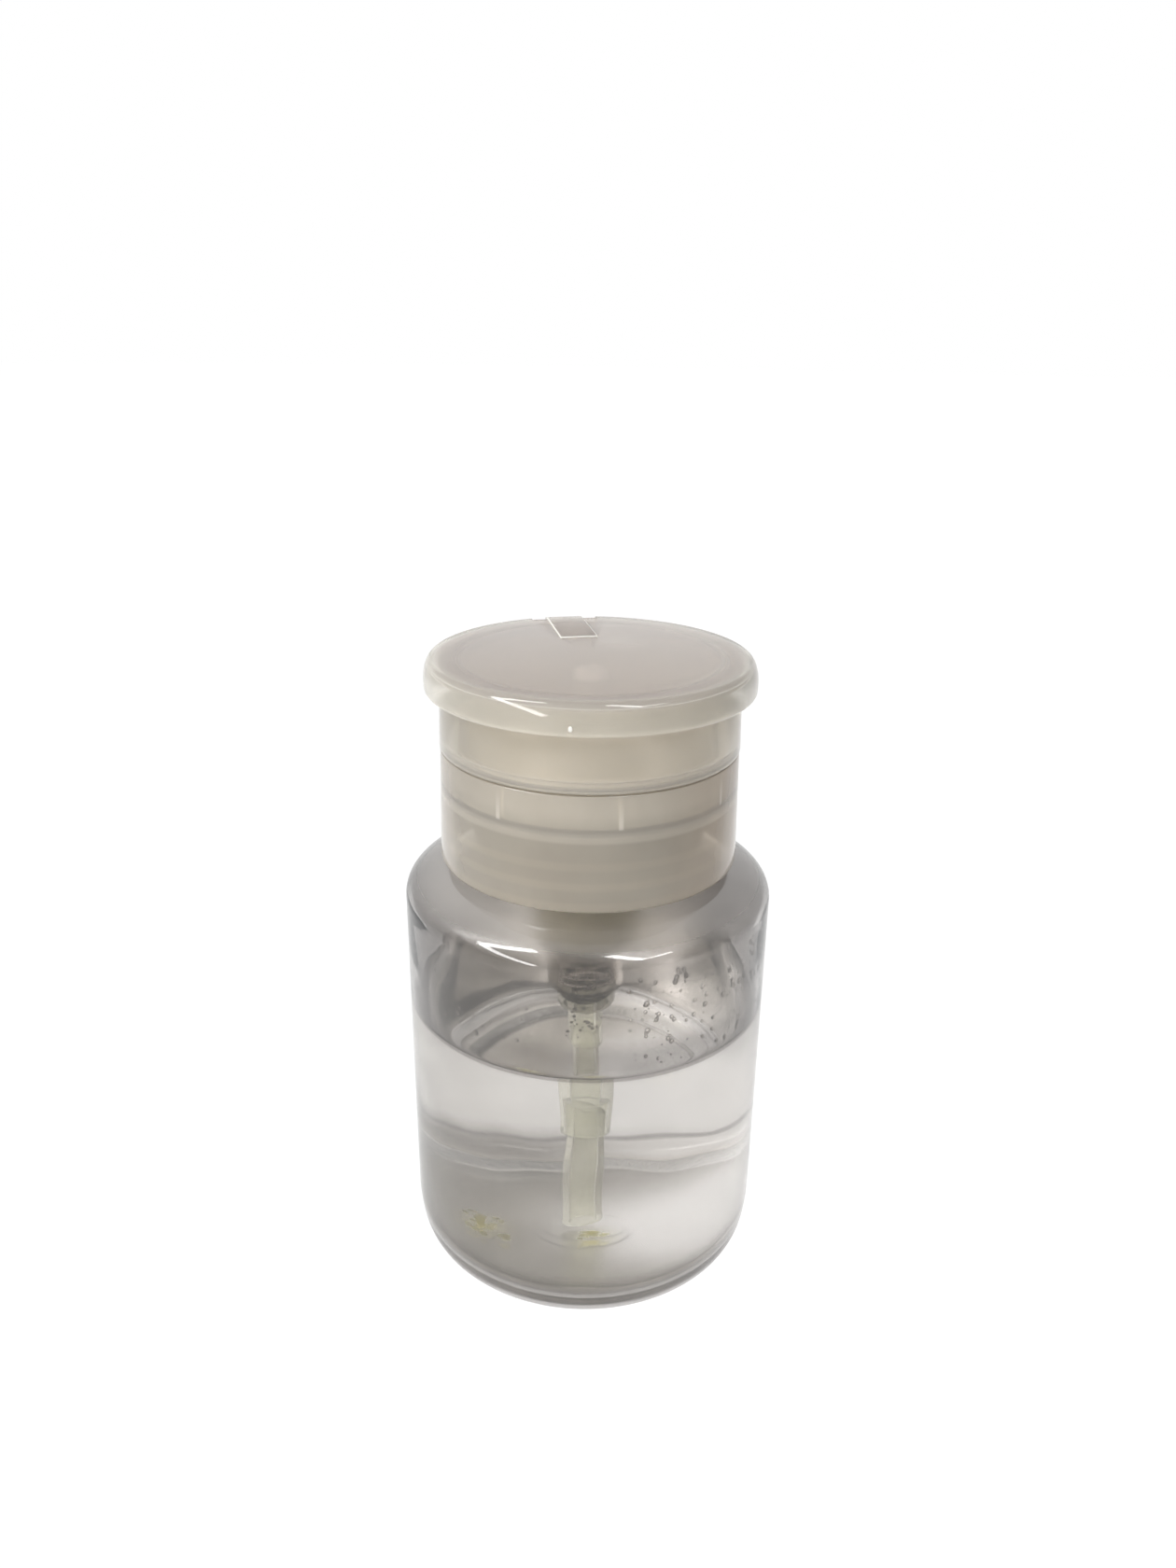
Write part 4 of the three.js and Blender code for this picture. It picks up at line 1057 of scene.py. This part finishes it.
def make_pump():
    make_housing()
    make_dip_tube()
    make_spring()
    make_ball("inlet_valve_ball", "inlet_ball", "inlet_valve")
    make_ball("outlet_valve_ball", "outlet_ball", "outlet_valve")
    gasket = turned("neck_washer", sleeve(13.1, NECK_RADIUS, 79.2, 80.3, 0.2))
    dress(gasket, "pump_body", "gasket_foam", FOAM, replaces="neck_gasket")
    chaplet = turned("stem_guide", [
        (3.5, 76.4, 0.2), (7.6, 76.4, 0.4), (7.6, 81.8, 0.1), (9.4, 81.8, 0.2), (9.4, 82.9, 0.3),
        (3.5, 82.9, 0.3)], PUMP_STEPS)
    dress(chaplet, "pump_body", "milky_pp", MILKY, replaces="chaplet")
    make_piston()


# Closure


def make_skirt():
    bore = SKIRT_RADIUS - SKIRT_WALL
    outline = [
        (SKIRT_RADIUS + SKIRT_DRAFT, SKIRT_BOTTOM, 0.5), (SKIRT_RADIUS, SKIRT_TOP, EDGE_ROUND),
        (bore, SKIRT_TOP, EDGE_ROUND), (bore, DECK_TOP, 0.4),
        (DECK_HOLE, DECK_TOP, EDGE_ROUND), (DECK_HOLE, DECK_BOTTOM, EDGE_ROUND),
        (THREAD_WALL_BORE, DECK_BOTTOM, 0.3), (THREAD_WALL_BORE, THREAD_WALL_BOTTOM, 0.4),
        (THREAD_WALL_RADIUS, THREAD_WALL_BOTTOM, 0.4), (THREAD_WALL_RADIUS, DECK_BOTTOM, 0.4),
        (bore, DECK_BOTTOM, 0.4), (bore + SKIRT_DRAFT, SKIRT_BOTTOM, 0.4),
    ]
    skirt = turned("closure_shell", outline)
    dress(skirt, "closure_body", "milky_pp", SKIRT_MILKY, replaces="closure_skirt")
    thread = helix_ridge("closure_thread", THREAD_WALL_BORE, -CLOSURE_THREAD_DEPTH, THREAD_START, 2)
    dress(thread, "closure_body", "milky_pp", MILKY)


def make_ear(side):
    outline = [(EAR_ROOT_Y, HINGE_Z - EAR_ROOT_DROP),
               *arc((HINGE_Y, HINGE_Z), EAR_RADIUS, -45, 90),
               (EAR_ROOT_Y, HINGE_Z + EAR_RADIUS)]
    ends = (EAR_INNER, EAR_OUTER) if side > 0 else (-EAR_OUTER, -EAR_INNER)
    return prism("ear", outline, *ends, bevel=0.15)


def make_ring():
    outline = [
        (BAND_RADIUS, SHELF_BOTTOM, 0.35), (BAND_RADIUS - BAND_DRAFT, RING_TOP, EDGE_ROUND),
        (BAND_BORE, RING_TOP, EDGE_ROUND),
        (BAND_BORE, SHELF_TOP, 0.5), (SPIGOT_BORE, SHELF_TOP, 0.4), (SPIGOT_BORE, SPIGOT_BOTTOM, 0.3),
        (SPIGOT_RADIUS, SPIGOT_BOTTOM, 0.4), (SPIGOT_RADIUS, SHELF_BOTTOM, 0.1),
    ]
    ring = turned("closure_ring", outline)
    for side in (1, -1):
        carve(ring, make_ear(side), "UNION")
    carve(ring, rod("pin_bore", PIN_RADIUS + 0.05, EAR_OUTER + 2), "DIFFERENCE")
    turn_to_hinge(ring)
    for i in range(RIB_COUNT):
        rib = block("rib", (SPIGOT_RADIUS - RIB_SINK, -RIB_WIDTH / 2, SPIGOT_BOTTOM + 0.1),
                    (RIB_OUTER, RIB_WIDTH / 2, RIB_TOP))
        azimuth = math.radians(RIB_AZIMUTH - 90 + i * 360 / RIB_COUNT)
        rib.data.transform(Matrix.Rotation(azimuth, 4, "Z"))
        carve(ring, rib, "UNION")
    smooth(ring)
    dress(ring, "closure_body", "milky_pp", RING_MILKY, PALE, replaces="upper_ring")
    for face in ring.data.polygons:
        radius = math.hypot(face.center.x, face.center.y) / MM
        on_rib = face.center.z / MM < RIB_TOP + 0.1 and radius > SPIGOT_RADIUS + 0.02
        face.material_index = int(on_rib)
    pin = rod("lid_pin", PIN_RADIUS, EAR_OUTER + 0.2, bevel=0.15)
    turn_to_hinge(pin)
    dress(pin, "closure_body", "milky_pp", MILKY, replaces="hinge_pin")


def make_leaf():
    back = HINGE_Y + KNUCKLE_RADIUS
    in_plate = LID_TOP - 0.4
    outline = [(LEAF_FRONT, in_plate), (LEAF_FRONT, LEAF_TOP),
               *arc((back - STRAP_ROUND, LEAF_TOP - STRAP_ROUND), STRAP_ROUND, 90, 0),
               *arc((HINGE_Y, HINGE_Z), KNUCKLE_RADIUS, 0, -180),
               (HINGE_Y - KNUCKLE_RADIUS, in_plate)]
    return prism("leaf", outline, -LEAF_WIDTH / 2, LEAF_WIDTH / 2, bevel=0.2)


def make_lid():
    edge = quarter((LID_RADIUS - LID_EDGE_INSET, LID_TOP - LID_EDGE_RISE), LID_EDGE_INSET, LID_EDGE_RISE, 12)
    lip = quarter((LID_RADIUS - LID_LIP_ROUND, RIM_BOTTOM + LID_LIP_ROUND), LID_LIP_ROUND, -LID_LIP_ROUND, 6)
    outline = [
        (0, LID_TOP), *reversed(edge), *lip, (LID_RIM_BORE, RIM_BOTTOM, 0.4), (LID_RIM_BORE, LID_UNDER, 0.5),
        (SEAL_RING_RADIUS, LID_UNDER, 0.2), (SEAL_RING_RADIUS, SEAL_RING_BOTTOM, 0.4),
        (SEAL_RING_BORE, SEAL_RING_BOTTOM, 0.4), (SEAL_RING_BORE, LID_UNDER, 0.2), (0, LID_UNDER),
    ]
    lid = turned("flip_lid", outline, closed=False)
    slot_side = EAR_OUTER + EAR_GAP
    beyond = HINGE_Y + 5
    above = LEAF_TOP + 2
    for side in (1, -1):
        ends = sorted((side * LEAF_WIDTH / 2, side * slot_side))
        carve(lid, block("slot", (ends[0], SLOT_INNER, 90), (ends[1], beyond, above)), "DIFFERENCE")
    carve(lid, make_leaf(), "UNION")
    pocket_side = LEAF_WIDTH / 2 - LEAF_WALL
    pocket = block("pocket", (-pocket_side, LEAF_FRONT + LEAF_WALL, LID_UNDER - LEAF_WALL),
                   (pocket_side, SEAL_RING_BORE - LEAF_WALL, LEAF_TOP - LEAF_SKIN))
    carve(lid, pocket, "DIFFERENCE")
    carve(lid, rod("pin_hole", PIN_BORE, LEAF_WIDTH), "DIFFERENCE")
    turn_to_hinge(lid)
    smooth(lid)
    dress(lid, "lid_body", "milky_pp", LID_MILKY, PALE, replaces="lid")
    for face in lid.data.polygons:
        on_leaf = face.center.z / MM > LID_TOP + 0.01 and face.normal.z < 0.95
        face.material_index = int(on_leaf)
    # A small pale nub on the front of the rim
    azimuth = math.radians(PALE_DOT_AZIMUTH)
    outward = Vector((math.sin(azimuth), -math.cos(azimuth), 0))
    place = outward * LID_RADIUS + Vector((0, 0, PALE_DOT_HEIGHT))
    scatter("rim_pale_dot", "lid_body", "milky_pp", PALE, [(place, outward, (0.3, 0.45, 0.12))])


# Press dish


def make_dish():
    """The dish, shallow on top, with a guide wall below its rim and a boss that takes the stem."""
    floor, depth, thickness = 98.2, 1.8, 1.3
    rim_bore, rim_radius, rim_top = 20.2, 21.9, high("press_dish")
    guide_bore, guide_radius, guide_bottom = 19.1, 20.3, 89.1
    boss_bore, boss_radius, boss_bottom, boss_stop = 3.4, 4.8, 88.8, 94.2
    hole = 2.3

    def plate(from_r, to_r, drop):
        radii = [from_r + (to_r - from_r) * i / CURVE_STEPS for i in range(CURVE_STEPS + 1)]
        return [(r, floor - drop + depth * (r / rim_bore) ** 2) for r in radii]

    outline = [
        *plate(hole, rim_bore, 0), (rim_bore, rim_top, 0.2), (rim_radius, rim_top, 0.4),
        (rim_radius, rim_top - 1.5, 0.3), (guide_radius, rim_top - 1.5, 0.2),
        (guide_radius, guide_bottom, 0.3), (guide_bore, guide_bottom, 0.3),
        *plate(guide_bore, boss_radius, thickness), (boss_radius, boss_bottom, 0.3),
        (boss_bore, boss_bottom, 0.3), (boss_bore, boss_stop, 0.1), (hole, boss_stop, 0.1),
    ]
    dish = turned("press_plate", outline)
    dress(dish, "actuator_body", "milky_pp", MILKY, replaces="press_dish")


def make_nozzle():
    """The outlet button: a domed head on a plug with a bore."""
    bore, plug, head, bottom, under, top = 0.6, 2.2, 2.9, 94.9, 98.35, high("outlet_nozzle")
    dome = quarter((head - 1.7, under + 0.1), 1.7, top - under - 0.1, 8)
    nozzle = turned("outlet_button", [
        (bore, bottom, 0.1), (plug, bottom, 0.2), (plug, under, 0.05), (head, under, 0.1), *dome,
        (bore, top - 0.6, 0.2)], PUMP_STEPS)
    dress(nozzle, "actuator_body", "pale_pp", PALE, replaces="outlet_nozzle")


# Stage


def seen_by_eye(tree):
    """1 for rays that the eye follows: straight, mirrored or through a clear piece."""
    path = tree.nodes.new("ShaderNodeLightPath")
    seen = path.outputs["Is Camera Ray"]
    for name in ("Is Glossy Ray", "Is Transmission Ray"):
        seen = combined("MAXIMUM", seen, path.outputs[name])
    return seen


def make_floor():
    form = bmesh.new()
    bmesh.ops.create_circle(form, cap_ends=True, segments=96, radius=FLOOR_RADIUS)
    floor = piece_from("studio_floor", form)
    made, tree = new_material("studio_white")
    shader = coat(tree, (0.9, 0.9, 0.9), 0.8)
    glow = tree.nodes.new("ShaderNodeEmission")
    glow.inputs["Strength"].default_value = FLOOR_GLOW
    share = times(seen_by_eye(tree), FLOOR_GLOW_SHARE)
    blend(share, shader.outputs["BSDF"], glow.outputs["Emission"])
    floor.data.materials.append(made)


def make_world():
    """White where the eye sees it; the light it gives falls off from the left to the right."""
    world = bpy.data.worlds.new("studio")
    bpy.context.scene.world = world
    world.use_nodes = True
    tree = world.node_tree
    light = tree.nodes["Background"]
    light.inputs["Color"].default_value = (1, 0.985, 0.965, 1)
    place = tree.nodes.new("ShaderNodeTexCoord")
    parts = tree.nodes.new("ShaderNodeSeparateXYZ")
    put(place.outputs["Generated"], parts.inputs["Vector"])
    level = spread(parts.outputs["X"], (-1, 1), (LIGHT_LEFT, LIGHT_RIGHT), eased=False)
    put(level, light.inputs["Strength"])
    white = tree.nodes.new("ShaderNodeBackground")
    white.inputs["Color"].default_value = (1, 1, 1, 1)
    blend(seen_by_eye(tree), light.outputs["Background"], white.outputs["Background"], "World Output")


def toward(azimuth, elevation):
    """The direction at an azimuth from the camera's side, positive to the right, and an elevation."""
    a, e = math.radians(azimuth), math.radians(elevation)
    return Vector((math.sin(a) * math.cos(e), -math.cos(a) * math.cos(e), math.sin(e)))


def make_light(name, start, end, width, power):
    """A flat strip lamp that faces the bottle, from one direction to another."""
    first, last = toward(*start) * LAMP_DISTANCE, toward(*end) * LAMP_DISTANCE
    data = bpy.data.lights.new(name, "AREA")
    data.shape = "RECTANGLE"
    data.size = (last - first).length
    data.size_y = width
    data.energy = power
    lamp = bpy.data.objects.new(name, data)
    bpy.context.scene.collection.objects.link(lamp)
    middle = (first + last) / 2
    across, back = (last - first).normalized(), middle.normalized()
    lamp.location = Vector(LAMP_AIM) + middle
    lamp.rotation_mode = "QUATERNION"
    lamp.rotation_quaternion = Matrix((across, back.cross(across), back)).transposed().to_quaternion()
    lamp.visible_transmission = False


def make_camera():
    data = bpy.data.cameras.new("photo_camera")
    data.sensor_width = SENSOR
    data.lens = SENSOR * PHOTO_FOCAL / PHOTO_HEIGHT
    data.clip_start = 0.01
    camera = bpy.data.objects.new("photo_camera", data)
    bpy.context.scene.collection.objects.link(camera)
    camera.location = [v * MM for v in CAMERA_PLACE]
    camera.rotation_mode = "QUATERNION"
    tilt = Quaternion((1, 0, 0), math.radians(CAMERA_TILT))
    roll = Quaternion((0, 0, 1), math.radians(CAMERA_ROLL))
    camera.rotation_quaternion = tilt @ roll
    bpy.context.scene.camera = camera


make_camera()
make_world()
make_floor()
make_light("window_left_top", (-73, 35), (-48, 62), 0.14, 3)
make_light("window_left_low", (-73, 35), (-29, 5), 0.1, 2.9)
make_light("window_right", (19, 63), (35, 38), 0.1, 1.9)
make_light("window_far_right", (35, 38), (59, 42), 0.05, 0.6)
make_bottle()
make_liquid()
make_drops()
make_bubbles()
make_residue()
make_pump()
make_skirt()
make_ring()
make_dish()
make_nozzle()
make_lid()

scene = bpy.context.scene
scene.view_settings.view_transform = "Standard"
scene.cycles.max_bounces = 32
scene.cycles.transmission_bounces = 32
scene.cycles.transparent_max_bounces = 16
